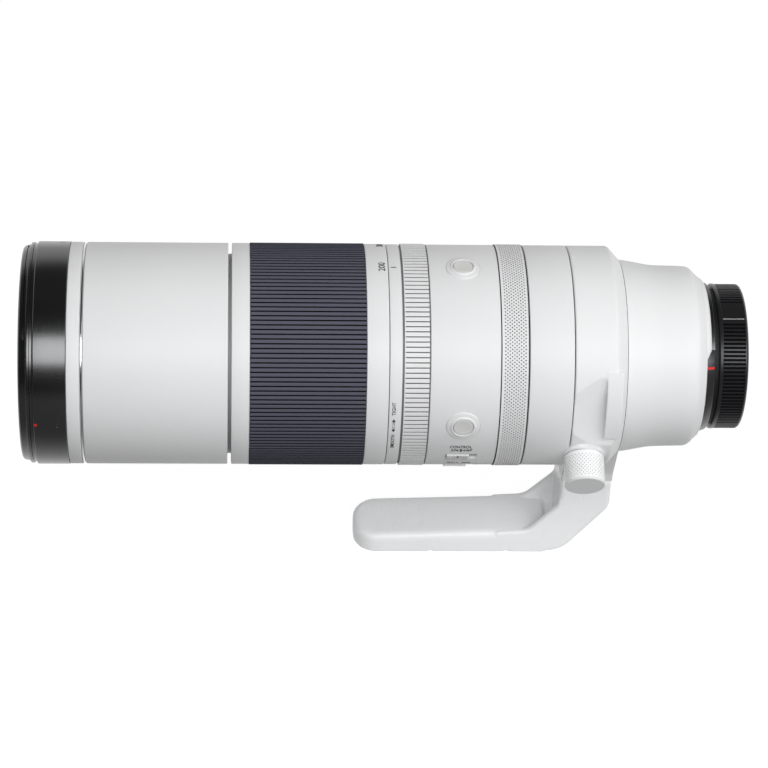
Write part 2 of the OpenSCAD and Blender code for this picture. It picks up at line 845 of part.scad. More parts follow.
module dust_seal() color("black") lens_frame() {
    band(guide_front_s, guide_front_s + seal_t, drum_r, extension_r + running_fit);
}

// White tube that carries the front group forward
module extension_tube() color("whitesmoke") lens_frame() {
    difference() {
        union() {
            band(extension_rear_s, front_ring_s, extension_r, extension_in_r);
            band(front_ring_s - front_flange_len, front_ring_s, front_flange_r, extension_in_r);
        }
        for (i = [0:follower_count - 1])
            spoke(i * 360 / follower_count, follower_s, extension_in_r - extension_wall,
                ring_r, follower_r + seat_fit);
    }
}

module cam_followers() color("gold") lens_frame() {
    for (i = [0:follower_count - 1])
        spoke(i * 360 / follower_count, follower_s, extension_in_r + extension_wall / 3,
            follower_tip_r, follower_r);
}

module front_barrel() color("whitesmoke") lens_frame() {
    soft_band(front_barrel_s, polished_s, front_barrel_r, front_flange_r, edge_break);
}

module polished_ring() color("silver") lens_frame() {
    soft_band(polished_s, name_s, front_barrel_r - polished_inset, front_flange_r, fine_break);
}

module name_ring() color("whitesmoke") lens_frame() {
    soft_band(name_s, front_ring_s, front_barrel_r, front_flange_r, edge_break);
}

// Black front ring with the hood's bayonet land and the filter thread
module front_ring() color("black") lens_frame() {
    rim_s = front_s - rim_step_t;
    land_s = rim_s - land_step_t;
    groove_s = land_s - groove_step_t;
    difference() {
        rotate_extrude() polygon([[front_cell_r, front_ring_s], [ring_r - edge_break, front_ring_s],
            [ring_r, front_ring_s + edge_break], [ring_r, groove_s - fine_break],
            [ring_r - fine_break, groove_s], [ring_r - groove_drop, groove_s],
            [ring_r - groove_drop, land_s], [ring_r - land_drop, land_s],
            [ring_r - land_drop, rim_s], [ring_r - rim_drop, rim_s],
            [ring_r - rim_drop, front_s], [filter_r, front_s],
            [filter_r, filter_shoulder_s], [front_cell_r, filter_shoulder_s]]);
        for (angle = dimple_angles)
            spoke(angle, front_ring_s + dimple_back, ring_r - dimple_depth, ring_r + cut, dimple_r);
    }
}

// Black cell with the seats of the front element and the doublet
module front_cell() color("dimgray") lens_frame() {
    tail_s = front_ring_s - front_cell_tail;
    rotate_extrude() polygon([[doublet_r - front_lip, tail_s], [extension_in_r, tail_s],
        [extension_in_r, front_ring_s], [front_cell_r, front_ring_s],
        [front_cell_r, front_cell_front_s], [front_element_r, front_cell_front_s],
        [front_element_r, front_seat_s], [doublet_r, front_seat_s], [doublet_r, doublet_s],
        [doublet_r - front_lip, doublet_s]]);
}

module front_element() color("lightsteelblue") lens_frame() {
    element(front_seat_s, front_seat_s + front_edge_t, front_element_r, front_curve,
        front_curve_share[1] * front_element_r);
}

module front_doublet() color("lightcyan") lens_frame() {
    element(doublet_s, doublet_s + doublet_edge_t, doublet_r, doublet_curve_share[0] * doublet_r,
        doublet_curve_share[1] * doublet_r);
}

module retaining_ring() color("black") lens_frame() {
    ring_s = front_seat_s + front_edge_t + sag(front_curve, front_element_r)
        - sag(front_curve, front_element_r - front_lip) + seat_fit;
    difference() {
        band(ring_s, ring_s + retaining_t, front_element_r, front_element_r - front_lip);
        for (angle = [0, 180])
            at_clock(angle) translate([front_element_r - front_lip, 0, ring_s + retaining_t / 2])
                cylinder(h = retaining_t, r = front_lip / 2);
    }
}

module variator_cell() color("dimgray") lens_frame() {
    difference() {
        band(variator_s, variator_s + variator_len, inner_bore_r - running_fit, variator_r);
        for (i = [0:5])
            at_clock(i * 60) translate([(variator_r + inner_bore_r) / 2, 0, variator_s - cut])
                cylinder(h = variator_len + 2 * cut, r = (inner_bore_r - variator_r) / 4);
    }
}

module variator_lens() color("lightcyan") lens_frame() {
    edge_share = 0.5;
    edge_s = variator_s + variator_len * (1 - edge_share) / 2;
    element(edge_s, edge_s + variator_len * edge_share, variator_r,
        variator_curve_share[0] * variator_r, variator_curve_share[1] * variator_r);
}

// Centre of each iris pivot
module at_pivot(i) rotate([0, 0, (i - 1) * 360 / blade_count]) translate([pivot_r, 0, 0])
    children();

module aperture_base() color("dimgray") lens_frame() {
    difference() {
        union() {
            band(iris_s, iris_s + iris_plate_t, inner_bore_r, iris_r + iris_hole_margin);
            band(iris_s, iris_ring_s + iris_ring_t, inner_bore_r, iris_guide_r);
        }
        for (i = [1:blade_count])
            at_pivot(i) translate([0, 0, iris_s - cut])
                cylinder(h = iris_plate_t + 2 * cut, r = pin_r + pin_fit);
        focus_rod_places() translate([0, 0, iris_s - cut])
            cylinder(h = rod_seat + cut, r = rod_r + seat_fit);
    }
}

// One iris blade: a crescent, its arm, the pivot pin down and the drive pin up
module aperture_blade(i) color("black") lens_frame() {
    level_s = iris_s + iris_plate_t + i * blade_pitch;
    arm_r = blade_arm_w / 2;
    mid_r = iris_r + blade_band / 2;
    arc = [for (a = [0:5:blade_span_angle])
        let (narrow = blade_band / 2 * (1 - pow(a / blade_span_angle, 4)))
        [a, narrow]];
    crescent = concat(
        [for (p = arc) (mid_r + p[1]) * [cos(p[0]), sin(p[0])]],
        [for (j = [len(arc) - 2:-1:0]) (mid_r - arc[j][1]) * [cos(arc[j][0]), sin(arc[j][0])]]);
    rotate([0, 0, (i - 1) * 360 / blade_count]) {
        translate([0, 0, level_s]) {
            linear_extrude(height = blade_t) polygon(crescent);
            translate([iris_r + blade_band / 2, -arm_r, 0])
                cube([pivot_r + drive_arm - iris_r - blade_band / 2, blade_arm_w, blade_t]);
            translate([pivot_r + drive_arm, 0, 0]) cylinder(h = blade_t, r = arm_r);
        }
        translate([pivot_r, 0, iris_s]) cylinder(h = level_s - iris_s + blade_t / 2, r = pin_r);
        translate([pivot_r + drive_arm, 0, level_s])
            cylinder(h = iris_ring_s + iris_ring_t - level_s, r = pin_r);
    }
}

// Ring whose radial slots drive the blades
module aperture_ring() color("dimgray") lens_frame() {
    slot_r = pivot_r + drive_arm;
    reach = drive_arm * (1 - cos(blade_turn_angle));
    difference() {
        band(iris_ring_s, iris_ring_s + iris_ring_t, iris_ring_r, iris_ring_in_r);
        for (i = [1:blade_count]) rotate([0, 0, (i - 1) * 360 / blade_count])
            translate([slot_r - reach - pin_r - pin_fit, -pin_r - pin_fit, iris_ring_s - cut])
                cube([reach + 2 * (pin_r + pin_fit), 2 * (pin_r + pin_fit),
                    iris_ring_t + 2 * cut]);
    }
}

module focus_rod_places() {
    for (side = [-1, 1]) translate([0, side * rod_circle_r, 0]) children();
}

module focus_rods() color("silver") lens_frame() {
    from = inner_rear_s + inner_wall_t - rod_seat;
    focus_rod_places() translate([0, 0, from])
        cylinder(h = iris_s + rod_seat - from, r = rod_r);
}

module focus_motors() color("black") lens_frame() {
    for (angle = [90, -90])
        sector(angle - motor_half_angle, angle + motor_half_angle, motor_s, motor_s + motor_len,
            inner_bore_r, motor_in_r);
}

// Ring of the focus group with a sleeve on each rod
module focus_cell() color("dimgray") lens_frame() {
    outer = focus_r + focus_wall;
    difference() {
        union() {
            translate([0, 0, focus_s]) cylinder(h = focus_len, r = outer);
            translate([-focus_boss_r, -rod_circle_r, focus_s])
                cube([2 * focus_boss_r, 2 * rod_circle_r, focus_len / 2]);
            focus_rod_places() translate([0, 0, focus_s]) cylinder(h = focus_len, r = focus_boss_r);
        }
        translate([0, 0, focus_s - cut]) cylinder(h = focus_len + 2 * cut, r = focus_r);
        focus_rod_places() translate([0, 0, focus_s - cut])
            cylinder(h = focus_len + 2 * cut, r = rod_r + running_fit);
    }
}

module focus_lens() color("lightcyan") lens_frame() {
    edge_share = 0.5;
    edge_s = focus_s + focus_len * (1 - edge_share) / 2;
    element(edge_s, edge_s + focus_len * edge_share, focus_r, focus_curve_share[0] * focus_r,
        focus_curve_share[1] * focus_r);
}

module stabiliser_base() color("dimgray") lens_frame() {
    band(stabiliser_s, stabiliser_s + stabiliser_plate_t, bearing_r - bearing_wall,
        stabiliser_hole_r);
}

module stabiliser_frame() color("gray") lens_frame() {
    frame_s = stabiliser_s + stabiliser_plate_t + stabiliser_gap;
    band(frame_s, frame_s + stabiliser_plate_t, stabiliser_frame_r, stabiliser_hole_r);
}

module stabiliser_cell() color("dimgray") lens_frame() {
    cell_s = stabiliser_s + 2 * (stabiliser_plate_t + stabiliser_gap);
    band(cell_s, cell_s + stabiliser_cell_t, stabiliser_r + stabiliser_wall, stabiliser_r);
    for (angle = [0, 90, 180, 270])
        sector(angle - stabiliser_arm_half_angle, angle + stabiliser_arm_half_angle, cell_s,
            cell_s + stabiliser_plate_t, stabiliser_frame_r - stabiliser_wall,
            stabiliser_r + stabiliser_wall / 2);
}

module stabiliser_lens() color("lightcyan") lens_frame() {
    cell_s = stabiliser_s + 2 * (stabiliser_plate_t + stabiliser_gap);
    element(cell_s, cell_s + stabiliser_cell_t, stabiliser_r,
        stabiliser_curve_share[0] * stabiliser_r, stabiliser_curve_share[1] * stabiliser_r);
}

module rear_cell() color("dimgray") lens_frame() {
    flange_s = rear_cell_s + rear_cell_len / 2;
    difference() {
        union() {
            band(rear_cell_s, rear_cell_s + rear_cell_len, rear_cell_r, rear_lens_r);
            band(flange_s, flange_s + rear_cell_flange_t, rear_bore_r, rear_lens_r);
            band(rear_cell_s, rear_cell_s + rear_lip, rear_cell_r, rear_lens_r - rear_lip);
        }
        for (i = [0:3]) at_clock(45 + i * 90)
            translate([(rear_cell_r + rear_bore_r) / 2, 0, flange_s - cut])
                cylinder(h = rear_cell_flange_t + 2 * cut, r = (rear_bore_r - rear_cell_r) / 4);
    }
}

module rear_lenses() color("lightcyan") lens_frame() {
    edge_share = 0.25;
    edge_t = rear_cell_len * edge_share;
    for (place = [[0, rear_cell_s + rear_lip], [1, rear_cell_s + rear_cell_len - edge_t]])
        element(place[1], place[1] + edge_t, rear_lens_r,
            rear_lens_curve_share[place[0]][0] * rear_lens_r,
            rear_lens_curve_share[place[0]][1] * rear_lens_r);
}

// C-shaped circuit board on the rear barrel's floor
module main_board() color("darkgreen") lens_frame() {
    difference() {
        band(rear_floor_s, rear_floor_s + board_t, rear_bore_r, board_in_r);
        wedge(90 - board_gap_half, 90 + board_gap_half, rear_bore_r, rear_floor_s - cut,
            rear_floor_s + board_t + cut);
    }
}

// Vertical channel down the front of the stalk
module stalk_channel(low, high) {
    translate([-low - (high - low), 0, stalk_front_s + channel_r - channel_depth])
        rotate([0, 90, 0]) cylinder(h = high - low, r = channel_r);
}

// The collar's stub down to the joint with the foot
module collar_stub() {
    translate([0, 0, stalk_rear_s]) linear_extrude(height = stalk_len)
        polygon([[-stub_top, -stub_w / 2], [-seam_drop, -stalk_w / 2],
            [-seam_drop, stalk_w / 2], [-stub_top, stub_w / 2]]);
}

module strap_slot(angle) {
    sector(angle - strap_half_angle, angle + strap_half_angle, collar_s - cut,
        collar_s + strap_slot_len, 2 * barrel_r, strap_floor_r);
}

module strap_bar(angle) {
    sector(angle - strap_half_angle - strap_end_angle, angle + strap_half_angle + strap_end_angle,
        strap_bar_s, strap_bar_s + strap_bar_len, barrel_r + strap_bar_proud,
        barrel_r + strap_bar_proud - strap_bar_t);
}

// Seat of the lock knob, cut flush with the collar's front
module knob_boss() {
    intersection() {
        spoke(knob_angle, knob_s, bearing_r + bearing_wall, boss_top_r, boss_r);
        translate([0, 0, collar_s]) cylinder(h = collar_len, r = 2 * barrel_r);
    }
}

// Turning collar with the foot's stub, the lock knob's boss and two strap bars
module collar_ring() color("whitesmoke") lens_frame() {
    front_s_here = collar_s + collar_len;
    difference() {
        union() {
            difference() {
                union() {
                    rotate_extrude() polygon([[collar_lip_r, collar_s], [collar_tail_r, collar_s],
                        [barrel_r, collar_s + collar_chamfer_s],
                        [barrel_r, front_s_here - edge_break],
                        [barrel_r - edge_break, front_s_here],
                        [bearing_r - cut, front_s_here], [bearing_r - cut, collar_s + collar_lip_t],
                        [collar_lip_r, collar_s + collar_lip_t]]);
                    collar_stub();
                    knob_boss();
                }
                for (angle = [strap_angle, 180 - strap_angle]) strap_slot(angle);
                stalk_channel(barrel_r + cut, seam_drop + cut);
            }
            for (angle = [strap_angle, 180 - strap_angle]) strap_bar(angle);
        }
        translate([0, 0, collar_s + collar_lip_t])
            cylinder(h = collar_len, r = bearing_r + running_fit);
        translate([0, 0, stalk_rear_s - cut]) {
            cylinder(h = collar_s + collar_lip_t + 2 * cut - stalk_rear_s, r = collar_lip_r);
            cylinder(h = collar_s + cut - stalk_rear_s, r = rear_top_r + collar_gap);
        }
        spoke(knob_angle, knob_s, bearing_r - cut, boss_top_r + cut,
            knob_stem_r + knob_stem_fit);
    }
}

// Side outline of the foot, extruded across the plate's width
module foot_side() {
    plate_top = sole_drop - plate_t;
    toe_top = plate_top - plate_rise;
    rotate([90, 0, 0]) linear_extrude(height = plate_w, center = true)
        polygon([[-foot_front_s, -sole_drop], [-stalk_rear_s - heel_len, -sole_drop],
            [-stalk_rear_s, -sole_drop + heel_rise], [-stalk_rear_s, -seam_drop],
            [-stalk_front_s, -seam_drop], [-stalk_front_s, -toe_top + toe_rise],
            [-stalk_front_s - toe_len, -toe_top], [-foot_front_s, -plate_top]]);
}

// End outline of the foot, from the plate's width up to the narrower joint face
module foot_end() {
    shoulder = sole_drop - plate_t;
    rotate([90, 0, -90]) translate([0, 0, stalk_rear_s - cut])
        linear_extrude(height = foot_len + 2 * cut)
            polygon([[-plate_w / 2, -sole_drop], [plate_w / 2, -sole_drop],
                [plate_w / 2, -shoulder], [stalk_w / 2, -seam_drop],
                [-stalk_w / 2, -seam_drop], [-plate_w / 2, -shoulder]]);
}

// Plan of the plate with its rounded front corners
module plate_plan() {
    inset = plate_w / 2 - plate_corner_r;
    translate([-foot_front_s, 0, -sole_drop]) {
        translate([plate_corner_r, -plate_w / 2, 0])
            cube([foot_len, plate_w, sole_drop - seam_drop]);
        translate([0, -inset, 0]) cube([2 * plate_corner_r, 2 * inset, sole_drop - seam_drop]);
        for (side = [-1, 1]) translate([plate_corner_r, side * inset, 0])
            cylinder(h = sole_drop - seam_drop, r = plate_corner_r);
    }
}

module tripod_foot() color("whitesmoke") {
    difference() {
        intersection() {
            foot_side();
            foot_end();
            plate_plan();
        }
        lens_frame() stalk_channel(seam_drop - cut, sole_drop - plate_t - plate_rise - toe_rise);
        translate([-quarter_inch_s, 0, -sole_drop - cut])
            cylinder(h = thread_depth + cut, r = quarter_inch_r);
        translate([-three_eighths_s, 0, -sole_drop - cut])
            cylinder(h = thread_depth + cut, r = three_eighths_r);
    }
}

// Lock knob with its stem through the collar
module lock_knob() color("whitesmoke") lens_frame() {
    root_r = boss_top_r + knob_gap;
    at_clock(knob_angle) translate([root_r, 0, knob_s]) rotate([0, 90, 0]) {
        rotate_extrude() polygon([[0, 0], [knob_r - knob_break, 0], [knob_r, knob_break],
            [knob_r, knob_len - knob_break], [knob_r - knob_break, knob_len], [0, knob_len]]);
    }
    spoke(knob_angle, knob_s, bearing_r + knob_gap, root_r + knob_len / 2, knob_stem_r);
}

// Rear cap with its own three tabs in the spaces between the bayonet's lugs
module rear_cap() color("black") lens_frame() {
    difference() {
        union() {
            band(-cap_neck - cut, -cap_face_gap, cap_r - cap_neck_drop, cap_bore_r);
            band(-cap_rim, -cap_neck, cap_r, cap_bore_r);
            ribbed_band(-cap_rib_end, -cap_rim, cap_r - cap_rib_inset, cap_rib_depth, cap_ribs,
                cap_bore_r);
            translate([0, 0, -cap_len])
                cylinder(h = cap_len - cap_rib_end, r = cap_r - cap_rib_depth - edge_break);
            translate([0, 0, -cap_len]) cylinder(h = cap_wall, r = cap_bore_r + cut);
        }
        translate([0, 0, -cap_len + cap_wall]) cylinder(h = cap_len, r = cap_bore_r);
    }
    for (i = [0:2])
        sector(30 + i * 120 - cap_tab_half_angle, 30 + i * 120 + cap_tab_half_angle,
            -cap_tab_back - cap_tab_t, -cap_tab_back, cap_bore_r + edge_break, cap_tab_r);
}

mount_plate();
mount_screws();
contact_block();
contact_pads();
rear_barrel();
guide_tube();
inner_tube();
rear_cover();
main_barrel();
switch_base();
index_ring();
dust_seal();
main_board();
focus_rods();
focus_motors();
rear_cell();
rear_lenses();
aperture_base();
stabiliser_base();
front_ring();
name_ring();
polished_ring();
front_barrel();
extension_tube();
cam_followers();
front_cell();
front_element();
front_doublet();
retaining_ring();
zoom_ring();
zoom_grip();
cam_drum();
variator_cell();
variator_lens();
focus_cell();
focus_lens();
stabiliser_frame();
stabiliser_cell();
stabiliser_lens();
aperture_ring();
for (i = [1:blade_count])
    aperture_blade(i);
collar_ring();
tripod_foot();
lock_knob();
tension_ring();
control_ring();
top_button();
side_button();
mode_switch();
stabiliser_switch();
rear_cap();
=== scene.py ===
# %% [markdown]
# # A white super telephoto zoom lens
#
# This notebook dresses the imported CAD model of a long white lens: painted rings,
# a rubber grip, knurled rings, a tripod collar and a rear cap. Blender works in metres, and
# the sizes written here are in millimetres and are multiplied by MM. The optical axis is X,
# X = 0 is the mount's flange, and the front glass faces -X.

# %% Load the frame
import bpy
import math
from mathutils import Matrix, Vector


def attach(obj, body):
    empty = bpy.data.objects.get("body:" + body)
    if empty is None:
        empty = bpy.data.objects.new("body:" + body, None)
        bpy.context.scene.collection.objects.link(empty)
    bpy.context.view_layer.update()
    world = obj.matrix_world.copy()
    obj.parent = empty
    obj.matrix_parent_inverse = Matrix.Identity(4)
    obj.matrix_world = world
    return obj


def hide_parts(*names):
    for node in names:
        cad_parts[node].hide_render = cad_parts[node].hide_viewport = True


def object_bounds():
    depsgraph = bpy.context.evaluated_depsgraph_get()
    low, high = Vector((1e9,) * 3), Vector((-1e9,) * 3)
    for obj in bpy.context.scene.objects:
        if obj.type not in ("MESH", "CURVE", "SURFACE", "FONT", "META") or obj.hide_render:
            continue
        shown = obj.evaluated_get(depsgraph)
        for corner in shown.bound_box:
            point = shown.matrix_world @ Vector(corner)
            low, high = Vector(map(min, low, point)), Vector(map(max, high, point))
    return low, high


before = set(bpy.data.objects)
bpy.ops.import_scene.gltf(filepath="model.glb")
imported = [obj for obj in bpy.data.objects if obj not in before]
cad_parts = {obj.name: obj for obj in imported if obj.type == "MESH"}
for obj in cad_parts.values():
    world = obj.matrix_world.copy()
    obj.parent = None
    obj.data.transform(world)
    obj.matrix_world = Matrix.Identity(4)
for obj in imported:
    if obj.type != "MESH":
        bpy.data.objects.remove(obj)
cad_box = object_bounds()
MM = 0.001
print("nodes:", len(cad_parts), "size in mm:",
      [round((b - a) / MM, 1) for a, b in zip(*cad_box)])

# %% [markdown]
# ## Places on a round body
#
# A place on the lens is a distance along the axis and a clock angle. The angle is 0 on the
# side with the switches, which is -Y, and 90 at the top.

# %% A point from its clock angle
def on_lens(x, radius, clock):
    """The point at a station x and a distance from the axis, both in mm."""
    angle = math.radians(clock)
    return Vector((x, -radius * math.cos(angle), radius * math.sin(angle))) * MM


def outward(clock):
    """The direction that points away from the axis at a clock angle."""
    return on_lens(0, 1 / MM, clock)


print("switch side:", tuple(outward(0)), "top:", tuple(round(v, 3) for v in outward(90)))

# %% [markdown]
# ## Camera
#
# The photographer stood on the switch side and looked down by about 40 degrees with a long
# lens of their own. The camera's place was solved from the rings' outlines: it is a little
# over 1.3 m away, so the far rim of each ring is only slightly smaller than the near one.

# %% Set the camera
VIEW_CLOCK = 39.5
CAMERA_X = -220.95
CAMERA_DISTANCE = 1370.37
SENSOR_WIDTH, FOCAL_LENGTH = 36, 139.123
YAW, PITCH, ROLL = (math.radians(v) for v in (3.0161, 0.5754, 0.3063))

camera_data = bpy.data.cameras.new("camera")
camera_data.sensor_width = SENSOR_WIDTH
camera_data.lens = FOCAL_LENGTH
camera = bpy.data.objects.new("camera", camera_data)
bpy.context.scene.collection.objects.link(camera)
bpy.context.scene.camera = camera
ahead = -outward(VIEW_CLOCK)
right = Vector((1, 0, 0))
up = right.cross(ahead)
ahead, right = (math.cos(YAW) * ahead + math.sin(YAW) * right,
                math.cos(YAW) * right - math.sin(YAW) * ahead)
ahead, up = (math.cos(PITCH) * ahead - math.sin(PITCH) * up,
             math.cos(PITCH) * up + math.sin(PITCH) * ahead)
right, up = (math.cos(ROLL) * right + math.sin(ROLL) * up,
             math.cos(ROLL) * up - math.sin(ROLL) * right)
turn = camera.matrix_world.to_3x3()
for row in range(3):
    turn[row] = (right[row], up[row], -ahead[row])
camera.matrix_world = turn.to_4x4()
camera.location = on_lens(CAMERA_X, CAMERA_DISTANCE, VIEW_CLOCK)
print("camera at", tuple(round(v, 3) for v in camera.location))

# %% [markdown]
# ## Light and floor
#
# The black front ring shows one broad reflection that faces the viewer, so the lens was lit
# by a long soft box just behind the camera. Edges that face the mount end are bright too, so
# a second box stood there. White surroundings filled in the rest, which a pale world does
# here. The white sweep that the camera sees is also what glossy and clear surfaces reflect
# behind the lens. The side behind the camera and the ceiling are dark, as the polished ring
# shows. The paper is paler near the foot, which it lights from below. The sizes of the lamps
# and the places on the floor are in metres, as in Blender's own panels.

# %% Lamps
def area_lamp(name, x, distance, clock, size, power, aim_x):
    """A soft box, its size in metres, that faces the axis at the station aim_x."""
    lamp = bpy.data.lights.new(name, "AREA")
    lamp.shape = "RECTANGLE"
    lamp.size, lamp.size_y = size
    lamp.energy = power
    lamp_object = bpy.data.objects.new(name, lamp)
    bpy.context.scene.collection.objects.link(lamp_object)
    lamp_object.location = on_lens(x, distance, clock)
    lamp_object.rotation_mode = "QUATERNION"
    aim = on_lens(aim_x, 0, 0) - lamp_object.location
    lamp_object.rotation_quaternion = aim.to_track_quat("-Z", "X")
    print(f"{name}: {power} W, {aim.length:.2f} m away")
    return lamp


soft_box = area_lamp("soft_box", x=100, distance=1250, clock=41, size=(0.6, 1.6), power=12,
                     aim_x=100)
soft_box.color = (0.975, 0.99, 1)
area_lamp("rear_box", x=1000, distance=950, clock=54, size=(0.9, 0.9), power=5.8, aim_x=-60)


# %% Helpers for shader nodes
def feed(tree, target, inputs):
    """Gives each named input of a node a number, a colour or another node's socket."""
    for slot, value in inputs.items():
        if isinstance(value, bpy.types.NodeSocket):
            tree.links.new(value, target.inputs[slot])
        else:
            target.inputs[slot].default_value = value
    return target


def shader_node(tree, kind, inputs=None, **settings):
    """A new shader node with its settings and inputs."""
    new = tree.nodes.new("ShaderNode" + kind)
    for setting, value in settings.items():
        setattr(new, setting, value)
    return feed(tree, new, inputs or {})


def maths(tree, operation, first, second):
    """The sum, product or greater of two sockets or numbers."""
    return shader_node(tree, "Math", {0: first, 1: second}, operation=operation).outputs[0]


def fade(tree, value, ends, levels):
    """Runs smoothly from one level to the other while a value goes from end to end."""
    ramp = shader_node(tree, "MapRange", {"Value": value, "From Min": ends[0],
                                          "From Max": ends[1], "To Min": levels[0],
                                          "To Max": levels[1]},
                       interpolation_type="SMOOTHSTEP")
    return ramp.outputs["Result"]


def ray_mask(tree, *kinds):
    """1 for the named kinds of ray, and 0 for all others."""
    rays = shader_node(tree, "LightPath").outputs
    mask = rays[kinds[0]]
    for kind in kinds[1:]:
        mask = maths(tree, "MAXIMUM", mask, rays[kind])
    return mask


# %% World
SEEN_RAYS = ("Is Camera Ray", "Is Glossy Ray", "Is Transmission Ray")
FILL, CEILING, DARK_SIDE = 0.42, 0.06, 0.025
SWEEP_Z = (0.35, 0.7)
SWEEP_Y = (-0.3, 0.2)
world = bpy.data.worlds.new("studio")
bpy.context.scene.world = world
world.use_nodes = True
sky = world.node_tree
sky.nodes.clear()
direction = shader_node(sky, "SeparateXYZ",
                        {0: shader_node(sky, "TexCoord").outputs["Generated"]}).outputs
backdrop = maths(sky, "MULTIPLY", fade(sky, direction["Z"], SWEEP_Z, (1, CEILING)),
                 fade(sky, direction["Y"], SWEEP_Y, (DARK_SIDE, 1)))
white = shader_node(sky, "Background", {
    "Strength": maths(sky, "MAXIMUM", backdrop, ray_mask(sky, "Is Camera Ray"))})
fill = shader_node(sky, "Background", {"Color": (1, 0.995, 0.985, 1), "Strength": FILL})
seen = shader_node(sky, "MixShader", {0: ray_mask(sky, *SEEN_RAYS), 1: fill.outputs[0],
                                      2: white.outputs[0]})
shader_node(sky, "OutputWorld", {"Surface": seen.outputs[0]})
print("fill", FILL, "ceiling", CEILING)

# %% Floor
FLOOR_Z = cad_box[0].z
FLOOR_SIZE, FLOOR_GAP = 8, 0.2
FLOOR_GREY, FOOT_PAPER, FLOOR_GLOW = 0.14, 0.4, 0.93
FOOT_PLACE, FOOT_HALO = (-0.1, -0.035, 0), (0.13, 0.06, 1)
GLOW_Y = (-0.13, 0.02)
bpy.ops.object.select_all(action="DESELECT")
bpy.ops.mesh.primitive_plane_add(size=FLOOR_SIZE, location=(0, 0, FLOOR_Z - FLOOR_GAP * MM))
floor = bpy.context.object
floor.name = "floor"
paper = bpy.data.materials.new("pale_paper")
paper.use_nodes = True
sheet = paper.node_tree
sheet.nodes.clear()
spot = shader_node(sheet, "TexCoord").outputs["Object"]
near_foot = shader_node(sheet, "Mapping", {"Vector": spot, "Location": FOOT_PLACE,
                                           "Scale": FOOT_HALO}, vector_type="TEXTURE")
halo = shader_node(sheet, "TexGradient", {"Vector": near_foot.outputs[0]},
                   gradient_type="SPHERICAL")
matt = shader_node(sheet, "BsdfDiffuse", {
    "Color": fade(sheet, halo.outputs["Fac"], (0, 0.5), (FLOOR_GREY, FOOT_PAPER))})
depth_y = shader_node(sheet, "SeparateXYZ", {0: spot}).outputs["Y"]
glow_share = maths(sheet, "MAXIMUM", fade(sheet, depth_y, GLOW_Y, (DARK_SIDE, 1)),
                   ray_mask(sheet, "Is Camera Ray"))
lit = shader_node(sheet, "Emission", {
    "Strength": maths(sheet, "MULTIPLY", glow_share, FLOOR_GLOW)})
glow = shader_node(sheet, "AddShader", {0: matt.outputs[0], 1: lit.outputs[0]})
choose = shader_node(sheet, "MixShader", {0: ray_mask(sheet, *SEEN_RAYS),
                                          1: matt.outputs[0], 2: glow.outputs[0]})
shader_node(sheet, "OutputMaterial", {"Surface": choose.outputs[0]})
floor.data.materials.append(paper)
bpy.context.scene.view_settings.view_transform = "Standard"
print("floor at", round(FLOOR_Z / MM, 1), "mm")

# %% [markdown]
# ## Materials
#
# One shader node group, placed in each finish with its own numbers, adds what all
# of these surfaces have: a fine tooth in the surface and small changes of tone.

# %% Shared surface group
FLOAT, COLOUR = "NodeSocketFloat", "NodeSocketColor"
TONE_CHANGE, ROUGH_CHANGE = 0.03, 0.05
BLOTCH_SCALE = 35
tooth = bpy.data.node_groups.new("surface_tooth", "ShaderNodeTree")
for label, kind in (("Colour", COLOUR), ("Grain Scale", FLOAT), ("Tone Change", FLOAT),
                    ("Roughness", FLOAT), ("Rough Change", FLOAT)):
    tooth.interface.new_socket(label, in_out="INPUT", socket_type=kind)
for label, kind in (("Colour", COLOUR), ("Roughness", FLOAT), ("Height", FLOAT)):
    tooth.interface.new_socket(label, in_out="OUTPUT", socket_type=kind)
given = tooth.nodes.new("NodeGroupInput").outputs
place = shader_node(tooth, "TexCoord").outputs["Object"]
fine = shader_node(tooth, "TexNoise", {"Vector": place, "Scale": given["Grain Scale"],
                                       "Detail": 3}).outputs["Fac"]
broad = shader_node(tooth, "TexNoise", {"Vector": place, "Scale": BLOTCH_SCALE,
                                        "Detail": 4}).outputs["Fac"]
swing = maths(tooth, "SUBTRACT", maths(tooth, "ADD", fine, broad), 1)
tone = maths(tooth, "ADD", maths(tooth, "MULTIPLY", swing, given["Tone Change"]), 1)
shade = shader_node(tooth, "VectorMath", {0: given["Colour"], "Scale": tone},
                    operation="SCALE").outputs[0]
rough = maths(tooth, "ADD", given["Roughness"],
              maths(tooth, "MULTIPLY", swing, given["Rough Change"]))
feed(tooth, tooth.nodes.new("NodeGroupOutput"),
     {"Colour": shade, "Roughness": rough, "Height": fine})
print("surface group:", len(tooth.nodes), "nodes")


# %% Finishes
def finish(name, colour, roughness, grain=2500, bump=0.1, depth=0.02, metallic=0, gloss=0.5,
           ior=1.5):
    """A painted, moulded or metal surface with its own tooth."""
    material = bpy.data.materials.new(name)
    material.use_nodes = True
    tree = material.node_tree
    group = shader_node(tree, "Group", {
        "Colour": (*colour, 1), "Grain Scale": grain, "Tone Change": TONE_CHANGE,
        "Roughness": roughness, "Rough Change": ROUGH_CHANGE}, node_tree=tooth).outputs
    relief = shader_node(tree, "Bump", {"Strength": bump, "Distance": depth * MM,
                                        "Height": group["Height"]})
    feed(tree, tree.nodes["Principled BSDF"], {
        "Base Color": group["Colour"], "Roughness": group["Roughness"],
        "Normal": relief.outputs["Normal"], "Metallic": metallic,
        "Specular IOR Level": gloss, "IOR": ior})
    return material


